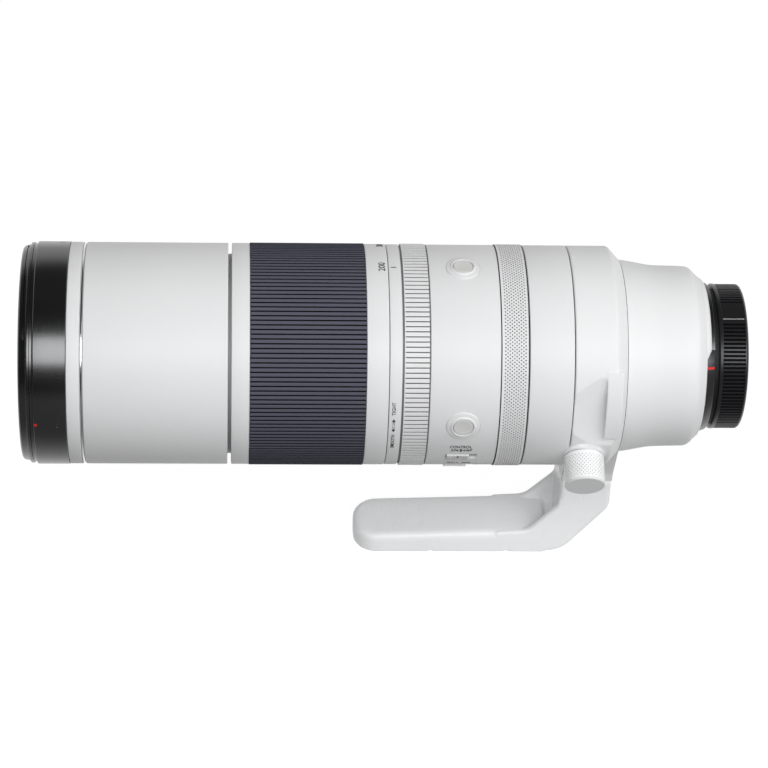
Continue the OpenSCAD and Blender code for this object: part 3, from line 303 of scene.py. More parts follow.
white_paint = finish("white_paint", (0.73, 0.73, 0.735), 0.38, grain=2600, bump=0.5,
                     depth=0.012, gloss=0.25)
white_cast = finish("white_cast", (0.76, 0.762, 0.765), 0.38, grain=2200, bump=0.5,
                    depth=0.015, gloss=0.25)
white_enamel = finish("white_enamel", (0.88, 0.885, 0.89), 0.28, grain=2200, bump=0.4,
                      depth=0.012)
black_satin = finish("black_satin", (0.004, 0.004, 0.004), 0.24, grain=3000, bump=0.2,
                     depth=0.004, ior=2.1)
black_matte = finish("black_matte", (0.012, 0.012, 0.013), 0.6, bump=0.5)
slate_rubber = finish("slate_rubber", (0.09, 0.092, 0.118), 0.8, bump=0.4, gloss=0.05)
# painted shade: a near-black finish for the floors and walls of deep grooves, on the zoom grip and
# the rear cap
black_groove_shade = finish("black_groove_shade", (0.006, 0.006, 0.008), 0.9, gloss=0.1)
cap_plastic = finish("cap_plastic", (0.011, 0.011, 0.012), 0.3, bump=0.4)
button_face = finish("button_face", (0.63, 0.625, 0.615), 0.45, grain=2600, bump=0.4,
                     depth=0.01)
dark_metal = finish("dark_metal", (0.13, 0.13, 0.135), 0.32, metallic=1)
silver = finish("silver", (0.8, 0.8, 0.81), 0.16, metallic=1)
bright_steel = finish("bright_steel", (0.6, 0.6, 0.6), 0.25, metallic=1)
gold = finish("gold", (0.86, 0.6, 0.2), 0.22, metallic=1)
brass = finish("brass", (0.6, 0.45, 0.2), 0.35, metallic=1)
board_green = finish("board_green", (0.02, 0.12, 0.05), 0.35, grain=400)
red_paint = finish("red_paint", (0.6, 0.02, 0.015), 0.35)
# painted shade: grey for the floors and walls of the control ring's pits
pit_shade = finish("pit_shade", (0.3, 0.3, 0.305), 0.6, grain=2600)
# painted shade: dark grey for the grooves between the tension ring's bars
grey_groove_shade = finish("grey_groove_shade", (0.2, 0.2, 0.205), 0.6, grain=2600)
# grey for the print line and the slider base, and painted shade in the lock knob's pits
line_paint_and_pit_shade = finish("line_paint_and_pit_shade", (0.5, 0.5, 0.5), 0.5, grain=2600)
print_black = finish("print_black", (0.03, 0.03, 0.032), 0.5, grain=2600)
print_grey = finish("print_grey", (0.25, 0.25, 0.255), 0.5, grain=2600)
print("finishes:", len(bpy.data.materials))


# %% Glass
def glass_finish(name, tint):
    """Coated optical glass, clear with a faint colour at grazing angles."""
    material = bpy.data.materials.new(name)
    material.use_nodes = True
    tree = material.node_tree
    edge = shader_node(tree, "LayerWeight", {"Blend": 0.35}).outputs["Facing"]
    film = shader_node(tree, "Mix", {"Factor": edge, "A": (0.93, 0.96, 0.98, 1),
                                     "B": (*tint, 1)}, data_type="RGBA")
    feed(tree, tree.nodes["Principled BSDF"], {
        "Base Color": film.outputs["Result"], "Roughness": 0.01, "Transmission Weight": 1,
        "IOR": 1.6})
    return material


front_glass = glass_finish("front_glass", (0.35, 0.55, 0.5))
inner_glass = glass_finish("inner_glass", (0.5, 0.4, 0.65))
print("glass:", front_glass.name, inner_glass.name)

# %% A finish for each CAD node
BLADES = " ".join(f"aperture_blade_{number}" for number in range(1, 10))
NODE_FINISH = {
    white_paint: "rear_cover main_barrel index_ring front_barrel name_ring zoom_ring control_ring "
                 "tension_ring extension_tube",
    white_cast: "rear_barrel collar_ring",
    white_enamel: "tripod_foot lock_knob",
    black_satin: "front_ring",
    black_matte: "front_cell retaining_ring cam_drum guide_tube inner_tube variator_cell "
                 "focus_cell rear_cell contact_block focus_motors aperture_base "
                 "stabiliser_base stabiliser_frame stabiliser_cell aperture_ring dust_seal "
                 + BLADES,
    slate_rubber: "zoom_grip",
    line_paint_and_pit_shade: "switch_base",
    cap_plastic: "rear_cap",
    dark_metal: "mount_plate",
    silver: "polished_ring",
    bright_steel: "mount_screws focus_rods",
    gold: "contact_pads",
    brass: "cam_followers",
    board_green: "main_board",
    button_face: "top_button side_button mode_switch stabiliser_switch",
    front_glass: "front_element front_doublet",
    inner_glass: "variator_lens focus_lens stabiliser_lens rear_lenses",
}
painted = set()
for material, names in NODE_FINISH.items():
    for name in names.split():
        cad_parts[name].material_slots[0].material = material
        painted.add(name)
print("nodes without a finish:", sorted(set(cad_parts) - painted))

# %% [markdown]
# ## Turned pieces
#
# Most of this lens is made on a lathe, so most pieces start as half an outline. One vertex
# is extruded from corner to corner, the outline is spun round the optical axis, and a bevel
# softens the sharp edges. A cylinder with many cuts would do too, but an outline keeps
# every groove and lip at its real station, and it is easy to read.

# %% Select, modify and surface a piece
SAME_POINT = 1e-6


def alone():
    """Nothing selected, so that the next operator acts on the new piece only."""
    bpy.ops.object.select_all(action="DESELECT")


def only(piece):
    """Selects one object and makes it the active one."""
    alone()
    piece.select_set(True)
    bpy.context.view_layer.objects.active = piece


def modified(piece, kind, **settings):
    """Adds a modifier with its settings and applies it."""
    only(piece)
    step = piece.modifiers.new(kind.lower(), kind)
    for setting, value in settings.items():
        setattr(step, setting, value)
    bpy.ops.object.modifier_apply(modifier=step.name)
    return piece


def softened(piece, width):
    """Bevels the sharp edges by a width in mm, and leaves them as they are at 0."""
    if width:
        modified(piece, "BEVEL", width=width * MM, segments=2, limit_method="ANGLE")
    return piece


def surfaced(piece, material, smooth=30):
    """Gives a piece its finish, and smooth shading up to an angle."""
    only(piece)
    piece.data.materials.clear()
    piece.data.materials.append(material)
    bpy.ops.object.shade_smooth_by_angle(angle=math.radians(smooth))
    return piece


def closed_up(piece):
    """Merges what meets and turns every face outwards."""
    bpy.ops.mesh.select_all(action="SELECT")
    bpy.ops.mesh.remove_doubles(threshold=SAME_POINT)
    bpy.ops.mesh.normals_make_consistent(inside=False)
    bpy.ops.object.mode_set(mode="OBJECT")
    return piece


# %% Outlines, turned solids and straight solids
def chain(name, corners, closed=True):
    """One vertex extruded through corners given in metres."""
    alone()
    bpy.ops.mesh.primitive_plane_add(size=MM)
    piece = bpy.context.object
    piece.name = name
    bpy.ops.object.mode_set(mode="EDIT")
    bpy.ops.mesh.select_mode(type="VERT")
    bpy.ops.mesh.merge(type="CENTER")
    bpy.ops.transform.translate(value=corners[0])
    path = corners[1:] + corners[:1] if closed else corners[1:]
    for here, there in zip(corners, path):
        bpy.ops.mesh.extrude_region_move(TRANSFORM_OT_translate={"value": there - here})
    bpy.ops.mesh.select_all(action="SELECT")
    bpy.ops.mesh.remove_doubles(threshold=SAME_POINT / 10)
    return piece


def turned(name, outline, material, soften=0, steps=192, arc=360, start=0, smooth=30):
    """Spins a closed outline of (station, radius) in mm round the optical axis."""
    piece = chain(name, [on_lens(x, r, start) for x, r in outline])
    if arc < 360:
        bpy.ops.mesh.edge_face_add()
    bpy.ops.mesh.spin(steps=steps, angle=math.radians(arc), center=(0, 0, 0), axis=(1, 0, 0))
    return surfaced(softened(closed_up(piece), soften), material, smooth)


def spun(name, outline, material, steps=48, soften=0, smooth=30):
    """Spins an outline of (radius, height) in mm round the vertical axis."""
    closed = outline[0][0] > 0
    piece = chain(name, [Vector((r, 0, z)) * MM for r, z in outline], closed)
    bpy.ops.mesh.spin(steps=steps, angle=math.tau, center=(0, 0, 0), axis=(0, 0, 1))
    return surfaced(softened(closed_up(piece), soften), material, smooth)


def prism(name, corners, sweep):
    """A straight solid: a closed outline of points in mm, extruded along a vector in mm."""
    piece = chain(name, [Vector(corner) * MM for corner in corners])
    bpy.ops.mesh.edge_face_add()
    bpy.ops.mesh.extrude_region_move(TRANSFORM_OT_translate={"value": Vector(sweep) * MM})
    return closed_up(piece)


# %% Place, join and hand over a piece
def seated(piece, x, radius, clock):
    """Moves a piece from the origin, where it faces up, to its place on the lens."""
    only(piece)
    stand = Matrix.Rotation(math.radians(90 - clock), 4, "X")
    piece.matrix_world = Matrix.Translation(on_lens(x, radius, clock)) @ stand
    bpy.ops.object.transform_apply(location=True, rotation=True, scale=True)
    return piece


def joined(name, parts):
    """Several meshes as one piece."""
    only(parts[0])
    for part in parts[1:]:
        part.select_set(True)
    bpy.ops.object.join()
    parts[0].name = name
    return parts[0]


def combined(piece, other, operation):
    """Boolean union or difference with another mesh, which is then removed."""
    modified(piece, "BOOLEAN", operation=operation, object=other)
    bpy.data.objects.remove(other)
    return piece


def fitted(piece, body, slot, *nodes):
    """The piece moves with a body and stands for CAD nodes. Its finish slot is not used."""
    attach(piece, body)
    if nodes:
        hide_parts(*nodes)
    print(f"{piece.name}: {len(piece.data.polygons)} faces, rides on {body}")
    return piece


# %% Plain rings
def shell(start, end, bore, radius, front=(0.3, 0.3), rear=(0.3, 0.3)):
    """The outline of a tube whose shoulders are cut back by (length, height)."""
    return [(start, bore), (start, radius - front[1]), (start + front[0], radius),
            (end - rear[0], radius), (end, radius - rear[1]), (end, bore)]


def square(start, end, bore, radius):
    """The outline of a tube with square ends."""
    return [(start, bore), (start, radius), (end, radius), (end, bore)]


def ring(name, outline, material, body, slot, *nodes, **how):
    """A turned piece that needs no more work."""
    return fitted(turned(name, outline, material, **how), body, slot, *nodes)


# %% [markdown]
# ## Ribs and knurls
#
# A ribbed ring repeats one rib, so one rib is drawn, spun into copies round the axis, and
# the copies are merged. A knurl is a net of small pits. The pits start as every other
# corner of a fine grid, are bevelled into diamonds, and are inset inwards together. The
# floors of pits and grooves take a darker finish, because so little light reaches them.

# %% A ring of ribs, and a net of pits
def bored(piece, scale):
    """Closes an open tube with an inner wall, its two rims scaled towards the axis."""
    bpy.ops.mesh.select_mode(type="EDGE")
    bpy.ops.mesh.select_all(action="DESELECT")
    bpy.ops.mesh.select_non_manifold(extend=False)
    bpy.ops.mesh.extrude_edges_move()
    bpy.ops.transform.resize(value=scale, center_override=(0, 0, 0))
    bpy.ops.mesh.bridge_edge_loops()
    return closed_up(piece)


def ribbed(name, start, end, section, count, inner, material):
    """Copies of one rib's (angle, radius) section round the axis, closed by a bore."""
    piece = chain(name, [on_lens(start, r, a) for a, r in section], closed=False)
    bpy.ops.mesh.extrude_region_move(
        TRANSFORM_OT_translate={"value": ((end - start) * MM, 0, 0)})
    bpy.ops.mesh.select_all(action="SELECT")
    bpy.ops.mesh.spin(steps=count, dupli=True, angle=math.tau, center=(0, 0, 0),
                      axis=(-1, 0, 0))
    bpy.ops.mesh.select_all(action="SELECT")
    bpy.ops.mesh.remove_doubles(threshold=SAME_POINT)
    top = max(r for _, r in section)
    bored(piece, (1, inner / top, inner / top))
    return surfaced(piece, material, 25)


def pitted(name, radius, length, rows, columns, pit, depth, inner, material, shade, margin):
    """A knurled tube that stands on the origin, with painted shade in its pits on a diamond net.
    """
    alone()
    bpy.ops.mesh.primitive_circle_add(vertices=2 * rows, radius=radius * MM)
    piece = bpy.context.object
    piece.name = name
    bpy.ops.object.mode_set(mode="EDIT")
    net = (length - 2 * margin) / (columns + 1)
    for step in [margin] + [net] * (columns + 1) + [margin]:
        bpy.ops.mesh.extrude_region_move(TRANSFORM_OT_translate={"value": (0, 0, step * MM)})
    bpy.ops.object.mode_set(mode="OBJECT")
    for vertex in piece.data.vertices:
        column = round((vertex.co.z / MM - margin) / net, 3)
        row = round(math.atan2(vertex.co.y, vertex.co.x) / math.pi * rows)
        vertex.select = 0.5 < column < columns + 0.5 and (round(column) + row) % 2 == 0
    bpy.ops.object.mode_set(mode="EDIT")
    bpy.ops.mesh.select_mode(type="VERT")
    bpy.ops.mesh.bevel(offset=pit * MM, affect="VERTICES")
    bpy.ops.mesh.select_mode(type="FACE")
    bpy.ops.mesh.inset(thickness=pit * 0.3 * MM, depth=depth * MM, use_individual=True)
    bored(piece, (inner / radius, inner / radius, 1))
    surfaced(piece, material, 20)
    # Painted shade: the pits' floors and walls take the darker shade finish.
    piece.data.materials.append(shade)
    for face in piece.data.polygons:
        out = face.center.xy.length / MM
        face.material_index = int(inner + 0.5 < out < radius - 0.25 * depth)
    reach = max(vertex.co.xy.length for vertex in piece.data.vertices) / MM
    shaded = sum(face.material_index for face in piece.data.polygons)
    print(f"{name}: {shaded} shaded faces, widest radius {reach:.2f} mm")
    return piece


def shaded_grooves(piece, below, shade):
    """Paints the faces nearer the axis than a radius dark, as painted shade in a deep groove."""
    piece.data.materials.append(shade)
    for face in piece.data.polygons:
        face.material_index = int(face.center.yz.length < below * MM)
    return piece


# %% [markdown]
# ## Black front ring
#
# The ring is anodised black, with a hood's bayonet at its edge: a thin rim, a lip and a
# groove, and a slot that runs over part of the turn. A spun sector cuts that slot, as a
# milling cutter does.

# %% Turn the front ring
FRONT_RADIUS = 51.12
FRONT_OUTLINE = [(-292.8, 46.7), (-292.8, 50.9), (-293.0, FRONT_RADIUS),
                 (-307.2, FRONT_RADIUS), (-307.5, 50.9), (-307.7, 50.1), (-308.9, 50.1),
                 (-309.1, 50.7), (-310.4, 50.6), (-310.7, 49.7), (-313.4, 49.1),
                 (-314.1, 48.4), (-314.1, 47.9), (-313.7, 47.5), (-307.1, 47.5),
                 (-307.1, 46.7)]
SLOT_OUTLINE = [(-311.2, 48.9), (-312.1, 48.7), (-312.1, 51), (-311.2, 51)]
front_ring = turned("black_front_ring", FRONT_OUTLINE, black_satin, soften=0.06)
cutter = turned("slot_cutter", SLOT_OUTLINE, black_satin, steps=48, arc=76, start=46)
combined(front_ring, cutter, "DIFFERENCE")
surfaced(front_ring, black_satin)
fitted(front_ring, "front_group", "black_metal", "front_ring")

# %% [markdown]
# ## Filter thread and front cell
#
# Inside the front ring a fine thread takes filters. A real thread is a helix. Closed rings of
# the same pitch look the same from any side, and stay simple. The ring that holds the front
# glass has black steps, which keep stray light off it, and two slots for a spanner.

# %% Cut the filter thread and the retaining ring
THREAD_START, THREAD_END, THREAD_PITCH = -308.0, -313.0, 1.0
THREAD_BED, THREAD_ROOT, THREAD_CREST = 47.7, 47.45, 47.0
thread_outline = [(THREAD_START, THREAD_BED)]
for turn_number in range(round((THREAD_START - THREAD_END) / THREAD_PITCH)):
    station = THREAD_START - turn_number * THREAD_PITCH
    thread_outline += [(station, THREAD_ROOT), (station - THREAD_PITCH / 2, THREAD_CREST)]
thread_outline += [(THREAD_END, THREAD_ROOT), (THREAD_END, THREAD_BED)]
ring("filter_thread", thread_outline, black_matte, "front_group", "black_metal", steps=128)

HOLDER_FACE, HOLDER_EDGE = -304.2, 44.6
holder = turned("front_glass_retainer",
                [(-302.3, 44.98), (-302.62, 43.35), (-303.1, 43.2), (-303.4, 43.9),
                 (-303.9, 43.9), (HOLDER_FACE, HOLDER_EDGE), (HOLDER_FACE, 44.98)],
                black_matte, steps=128)
for clock in (0, 180):
    notch = spun("notch", [(0, -1), (0.9, -1), (0.9, 1), (0, 1)], black_matte, steps=16)
    notch.matrix_world = (Matrix.Translation(on_lens(HOLDER_FACE, HOLDER_EDGE, clock))
                          @ Matrix.Rotation(math.radians(90), 4, "Y"))
    combined(holder, notch, "DIFFERENCE")
surfaced(holder, black_matte)
fitted(holder, "front_group", "black_metal", "retaining_ring")

# %% [markdown]
# ## Screws and dots
#
# Small round pieces sit on the curved rings. Each is spun round its own axis at the centre
# of the scene, then turned and moved to its clock angle, and its place is applied.

# %% Hood dot and ring screws
DOT = [(0, 0.05), (0.6, 0.05), (0.78, 0.0), (0.8, -0.4), (0, -0.4)]
SCREW = [(0, -0.25), (0.35, -0.25), (0.45, 0.0), (0.8, 0.0), (0.95, -0.12), (1.1, 0.02),
         (1.25, 0.02), (1.3, -0.5), (0, -0.5)]
DOT_X, SCREW_X = -306.6, -296.6
fitted(seated(spun("hood_dot", DOT, red_paint, steps=32), DOT_X, FRONT_RADIUS, 0),
       "front_group", "black_metal")
for number, clock in enumerate(range(0, 360, 60)):
    screw = spun(f"ring_screw_{number + 1}", SCREW, black_satin, steps=32)
    fitted(seated(screw, SCREW_X, FRONT_RADIUS, clock), "front_group", "black_metal")

# %% [markdown]
# ## White barrel of the front group
#
# The white parts are aluminium under a hard paint. The paint's soft corners catch light, so
# every turned edge gets a small bevel. A polished ring sits in a groove before the barrel.

# %% Name ring, polished ring and front barrel
WHITE_RADIUS = 50.9
ring("white_name_ring", shell(-292.78, -286.8, 49.2, WHITE_RADIUS, (0.28, 0.4), (0.15, 0.2)),
     white_paint, "front_group", "white_shell", "name_ring", soften=0.08)
ring("polished_trim_ring", shell(-286.78, -285.42, 49.2, 50.55, (0.38, 0.35), (0.38, 0.35)),
     silver, "front_group", "polished_metal", "polished_ring", soften=0.12, smooth=60)
ring("white_front_barrel", shell(-285.4, -220.9, 49.55, WHITE_RADIUS), white_paint,
     "front_group", "white_shell", "front_barrel", soften=0.1)

# %% [markdown]
# ## Zoom ring
#
# A white ring carries a sleeve of slate-coloured rubber with 150 long ribs. The grooves
# between the ribs are deep, with painted shade in them, and the ribs are flat on top. One
# rib is drawn as a section and repeated round the ring.

# %% Zoom ring shell
GRIP_BED = 49.9
front_band = shell(-219.3, -211.1, GRIP_BED, WHITE_RADIUS, rear=(0.2, 0.2))
rear_band = shell(-158.9, -149.0, GRIP_BED, WHITE_RADIUS, (0.2, 0.2), (0.2, 0.2))
zoom_outline = [(-219.3, 49.3)] + front_band[1:] + rear_band[:-1] + [(-149.0, 49.3)]
ring("white_zoom_ring", zoom_outline, white_paint, "zoom", "white_shell", "zoom_ring",
     soften=0.08)


# %% Rubber grip
def rib_section(count, groove_share, low, high, crown, wall_share):
    """Half a groove, a rib and half a groove, as (angle, radius) corners."""
    pitch = 360 / count
    foot = 0.5 - groove_share / 2
    head = foot - wall_share
    right_side = [(head * 0.5, high - crown / 4), (head, high - crown),
                  (head + 0.03, high - 0.1), (foot, low + 0.08), (foot + 0.03, low),
                  (0.5, low)]
    left_side = [(-share, r) for share, r in reversed(right_side)]
    return [(share * pitch, r) for share, r in left_side + [(0, high)] + right_side]


RIB_TOP = 51.13
ZOOM_RIBS = 150
zoom_section = rib_section(ZOOM_RIBS, 0.2, 50.1, RIB_TOP, crown=0.08, wall_share=0.08)
grip = ribbed("rubber_zoom_grip", -211.05, -158.95, zoom_section, ZOOM_RIBS, 49.92,
              slate_rubber)
# Painted shade: the grooves and their walls are coloured near black.
shaded_grooves(grip, 50.95, black_groove_shade)
fitted(grip, "zoom", "grip_rubber", "zoom_grip")

# %% [markdown]
# ## Index ring and tension ring
#
# A narrow fixed ring carries the index line. Behind it turns the white tension ring, whose
# wide flat bars are parted by thin grooves, with a smooth rim in front.

# %% Index ring and tension ring
BARREL_RADIUS = 50.8
BARREL_BORE = 49.2
ring("white_index_ring", shell(-148.7, -143.1, BARREL_BORE, BARREL_RADIUS), white_paint,
     "barrel", "white_shell", "index_ring", soften=0.06)
ring("grey_tension_bed", square(-143.2, -130.4, BARREL_BORE, 49.7), print_grey, "barrel",
     "white_shell", steps=96)
TENSION_RIBS = 138
tension_section = rib_section(TENSION_RIBS, 0.14, 50.35, RIB_TOP, crown=0.03, wall_share=0.07)
tension_bars = ribbed("tension_bars", -142.1, -131.0, tension_section, TENSION_RIBS, 50.0,
                      white_paint)
# Painted shade: the grooves between the bars are coloured dark grey.
shaded_grooves(tension_bars, 50.8, grey_groove_shade)
tension_rim = turned("tension_rim",
                     [(-142.2, 50.0), (-142.2, 50.85), (-141.9, 51.05), (-141.7, 50.85),
                      (-141.7, 50.0)], white_paint, soften=0.05)
fitted(joined("white_tension_ring", [tension_bars, tension_rim]), "tension", "white_shell",
       "tension_ring")

# %% [markdown]
# ## Main barrel and its buttons
#
# The fixed main barrel has a round function button on top and another on the side. Each sits
# in a bright raised ring on a soft round pad. The pad's edge dips under the barrel's curve,
# so it needs no exact seam. Slots for two sliders and a hole under each button are cut
# through the shell.

# %% Main barrel shell
main_shell = turned("white_main_barrel",
                    shell(-130.5, -98.95, BARREL_BORE, BARREL_RADIUS, rear=(0.25, 0.3)),
                    white_paint, soften=0.08)
MODE_CLOCK, STABILISER_CLOCK = -26.5, -48.5
SLOT_X, SLOT_SIZE = -114.5, (14.2, 5.3, 5)
for clock in (MODE_CLOCK, STABILISER_CLOCK):
    alone()
    bpy.ops.mesh.primitive_cube_add(size=MM)
    cutter = bpy.context.object
    bpy.ops.transform.resize(value=SLOT_SIZE)
    bpy.ops.object.transform_apply(scale=True)
    modified(cutter, "BEVEL", width=0.4 * MM, segments=3)
    combined(main_shell, seated(cutter, SLOT_X, BARREL_RADIUS, clock), "DIFFERENCE")
BUTTON_X, BUTTON_HOLE = -115.0, 4.8
SIDE_CLOCK, TOP_CLOCK = 0, 90
for clock in (SIDE_CLOCK, TOP_CLOCK):
    hole = spun("button_hole", [(0, 2), (BUTTON_HOLE, 2), (BUTTON_HOLE, -3), (0, -3)],
                white_paint)
    combined(main_shell, seated(hole, BUTTON_X, BARREL_RADIUS, clock), "DIFFERENCE")
surfaced(main_shell, white_paint)
PAD = [(4.7, -1.0), (4.7, 0.9), (4.8, 1.08), (5.3, 1.08), (5.65, 0.85), (5.85, 0.5),
       (6.2, 0.38), (7.2, 0.28), (7.6, 0.1), (7.8, -0.3), (7.8, -1.3), (6, -1.3)]
pads = [seated(spun("button_pad", PAD, white_paint, steps=96, soften=0.06), BUTTON_X,
               BARREL_RADIUS, clock) for clock in (SIDE_CLOCK, TOP_CLOCK)]
fitted(joined("white_main_barrel", [main_shell] + pads), "barrel", "white_shell",
       "main_barrel")

# %% [markdown]
# ## Function buttons
#
# The buttons are grey plastic caps that press inwards, so each is a piece of its own.

# %% Two function buttons
CAP = [(0, 0.82), (2.6, 0.86), (3.7, 1.0), (4.2, 1.02), (4.45, 0.8), (4.48, 0.4),
       (4.48, -1.1), (0, -1.1)]
for clock, body, node in ((TOP_CLOCK, "upper_button", "top_button"),
                          (SIDE_CLOCK, "lower_button", "side_button")):
    cap = spun(f"{node}_cap", CAP, button_face, steps=96, soften=0.04)
    fitted(seated(cap, BUTTON_X, BARREL_RADIUS, clock), body, "grey_plastic", node)

# %% [markdown]
# ## Knurled control ring
#
# A fine net of diamond pits covers this ring between two plain rims, so that a finger turns
# it without slipping. It turns on a dark neck between the main barrel and the rear cover.

# %% Control ring
CONTROL_START, CONTROL_END, CONTROL_GAP = -98.6, -86.5, 0.05
control = pitted("white_control_ring", RIB_TOP, CONTROL_END - CONTROL_START - 2 * CONTROL_GAP,
                 rows=196, columns=10, pit=0.45, depth=0.5, inner=49.3,
                 material=white_paint, shade=pit_shade, margin=0.45)
only(control)
control.matrix_world = (Matrix.Translation(((CONTROL_START + CONTROL_GAP) * MM, 0, 0))
                        @ Matrix.Rotation(math.radians(90), 4, "Y"))
bpy.ops.object.transform_apply(location=True, rotation=True, scale=True)
fitted(control, "control", "white_shell", "control_ring")
ring("control_neck", square(-99.2, -85.7, 48.9, BARREL_BORE), black_matte, "barrel",
     "black_metal", steps=96)

# %% [markdown]
# ## Rear cover
#
# The last straight part of the barrel, before the tripod collar, is one plain turned ring.

# %% Turn the rear cover
ring("white_rear_cover", shell(-86.0, -65.95, 49.0, BARREL_RADIUS, rear=(0.25, 0.3)),
     white_paint, "barrel", "white_shell", "rear_cover", soften=0.08)

# %% [markdown]
# ## Slider switches
#
# Two slider switches sit below the side button. Each cap has fine teeth for the thumb and
# runs in a slot that is cut through the barrel's shell, longer than the cap by its travel.

# %% Slider caps
SLIDER_X, SLIDER_HALF, SLIDER_WIDTH = -116.1, 5.1, 4.5
TOOTH_COUNT, TOOTH_PITCH, TOOTH_TOP, TOOTH_FOOT = 7, 1.0, 0.85, 0.6
slider_side = [(SLIDER_HALF, TOOTH_TOP)]
for tooth_number in range(TOOTH_COUNT):
    tooth_x = 3.4 - tooth_number * TOOTH_PITCH
    slider_side += [(tooth_x + 0.3, TOOTH_TOP), (tooth_x + 0.1, TOOTH_FOOT),
                    (tooth_x - 0.3, TOOTH_FOOT), (tooth_x - 0.5, TOOTH_TOP)]
slider_side += [(-SLIDER_HALF, TOOTH_TOP), (-SLIDER_HALF, -1.0), (SLIDER_HALF, -1.0)]
for node, body, clock in (("mode_switch", "mode", MODE_CLOCK),
                          ("stabiliser_switch", "stabiliser_slider", STABILISER_CLOCK)):
    slider = prism(f"{node}_cap", [(x, -SLIDER_WIDTH / 2, z) for x, z in slider_side],
                   (0, SLIDER_WIDTH, 0))
    surfaced(softened(slider, 0.12), button_face)
    fitted(seated(slider, SLIDER_X, BARREL_RADIUS, clock), body, "grey_plastic", node)

# %% [markdown]
# ## Printed marks
#
# Marks are printed on the paint. Letters start as text, become closed thin meshes, and are
# wrapped round the lens.

# %% Letters and marks wrapped on the lens
PRINT_HEIGHT = 0.08
LETTER_WEIGHT = 0.03


def wrapped(piece, body, x, clock, radius=BARREL_RADIUS, upright=False):
    """Bends a flat mark round the lens. An upright mark reads from low to high clock."""
    for vertex in piece.data.vertices:
        across, along, out = vertex.co / MM
        if upright:
            across, along = -along, across
        vertex.co = on_lens(x + across, radius + out, clock + math.degrees(along / radius))
    only(piece)
    bpy.ops.object.mode_set(mode="EDIT")
    closed_up(piece)
    return fitted(piece, body, "black_plastic")


def word(text, size, body, x, clock, upright=False, radius=BARREL_RADIUS, tall=1.0):
    """A printed word, centred on its place. Tall letters are narrower than the font's."""
    alone()
    bpy.ops.object.text_add()
    piece = bpy.context.object
    piece.name = "print_" + text.lower()
    piece.data.body = text
    piece.data.size = size * MM
    piece.data.extrude = PRINT_HEIGHT * MM
    piece.data.offset = LETTER_WEIGHT * MM
    piece.data.resolution_u = 3
    piece.data.align_x, piece.data.align_y = "CENTER", "CENTER"
    bpy.ops.object.convert(target="MESH")
    bpy.ops.transform.resize(value=(1, tall, 1), center_override=(0, 0, 0))
    bpy.ops.object.transform_apply(scale=True)
    surfaced(piece, print_black)
    return wrapped(piece, body, x, clock, radius, upright)


def mark(name, corners, body, x, clock, upright=False):
    """A printed mark with straight sides."""
    piece = prism(name, [(across, along, -PRINT_HEIGHT) for across, along in corners],
                  (0, 0, 2 * PRINT_HEIGHT))
    surfaced(piece, print_black)
    return wrapped(piece, body, x, clock, upright=upright)


def dot(name, radius, body, x, clock, material=print_black):
    """A printed round dot."""
    piece = spun(name, [(0, PRINT_HEIGHT), (radius, PRINT_HEIGHT), (radius, -PRINT_HEIGHT),
                        (0, -PRINT_HEIGHT)], material, steps=24)
    return wrapped(piece, body, x, clock)


def bar(half_length, half_width):
    """The four corners of a bar."""
    return [(-half_length, -half_width), (half_length, -half_width),
            (half_length, half_width), (-half_length, half_width)]


# %% Focal lengths and the marks of the index ring
NUMBERS_X, INDEX_X = -151.6, -146.4
ZOOM_NUMBERS = (("200", 90.4), ("300", 118), ("400", 142), ("500", 164), ("600", 184),
                ("800", 210.4))
ARROW = [(-3.8, 0), (-2.4, -0.85), (-2.4, -0.4), (0, -0.4), (2.4, -0.4), (2.4, -0.85),
         (3.8, 0), (2.4, 0.85), (2.4, 0.4), (0, 0.4), (-2.4, 0.4), (-2.4, 0.85)]
for focal, clock in ZOOM_NUMBERS:
    word(focal, 4.3, "zoom", NUMBERS_X, clock, upright=True, radius=WHITE_RADIUS)
mark("print_index", bar(1.2, 0.25), "barrel", INDEX_X, TOP_CLOCK)
word("TIGHT", 2.3, "barrel", INDEX_X, 10.6, upright=True)
word("SMOOTH", 2.3, "barrel", INDEX_X, -11.4, upright=True)
mark("print_arrow", ARROW, "barrel", INDEX_X, 0.2, upright=True)

# %% Marks at the sliders, the collar and the buttons
MODE_ROW, STABILISER_ROW = -19.4, -37.5
for text, size, x, clock, tall in (("CONTROL", 2.1, -115.2, -16.2, 1.4),
                                   ("AF", 2.2, -118.4, MODE_ROW, 1.2),
                                   ("MF", 2.2, -111.2, MODE_ROW, 1.2)):
    word(text, size, "barrel", x, clock, tall=tall)
dot("print_dot_1", 0.6, "barrel", -116.6, MODE_ROW)
dot("print_dot_2", 0.6, "barrel", -113.4, MODE_ROW)
mark("print_bar", bar(0.5, 1.1), "barrel", BUTTON_X, MODE_ROW)
for text, x in (("ON", -118.6), ("OFF", -111.6)):
    word(text, 2.3, "barrel", x, STABILISER_ROW)
dot("print_dot_3", 0.5, "barrel", -115.6, STABILISER_ROW)
tick = prism("mode_tick", [(x, y + 1.3, 0.8) for x, y in bar(0.3, 0.9)], (0, 0, 0.1))
surfaced(tick, print_black)
fitted(seated(tick, SLIDER_X, BARREL_RADIUS, MODE_CLOCK), "mode", "black_plastic")
dot("print_collar_dot", 0.7, "collar", -63.9, 100.7, white_enamel)
for clock in (SIDE_CLOCK, TOP_CLOCK):
    seam = spun(f"button_seam_{clock}",
                [(7.45, 0.06), (7.75, 0.06), (7.75, -0.06), (7.45, -0.06)], print_grey,
                steps=72)
    wrapped(seam, "barrel", BUTTON_X, clock)

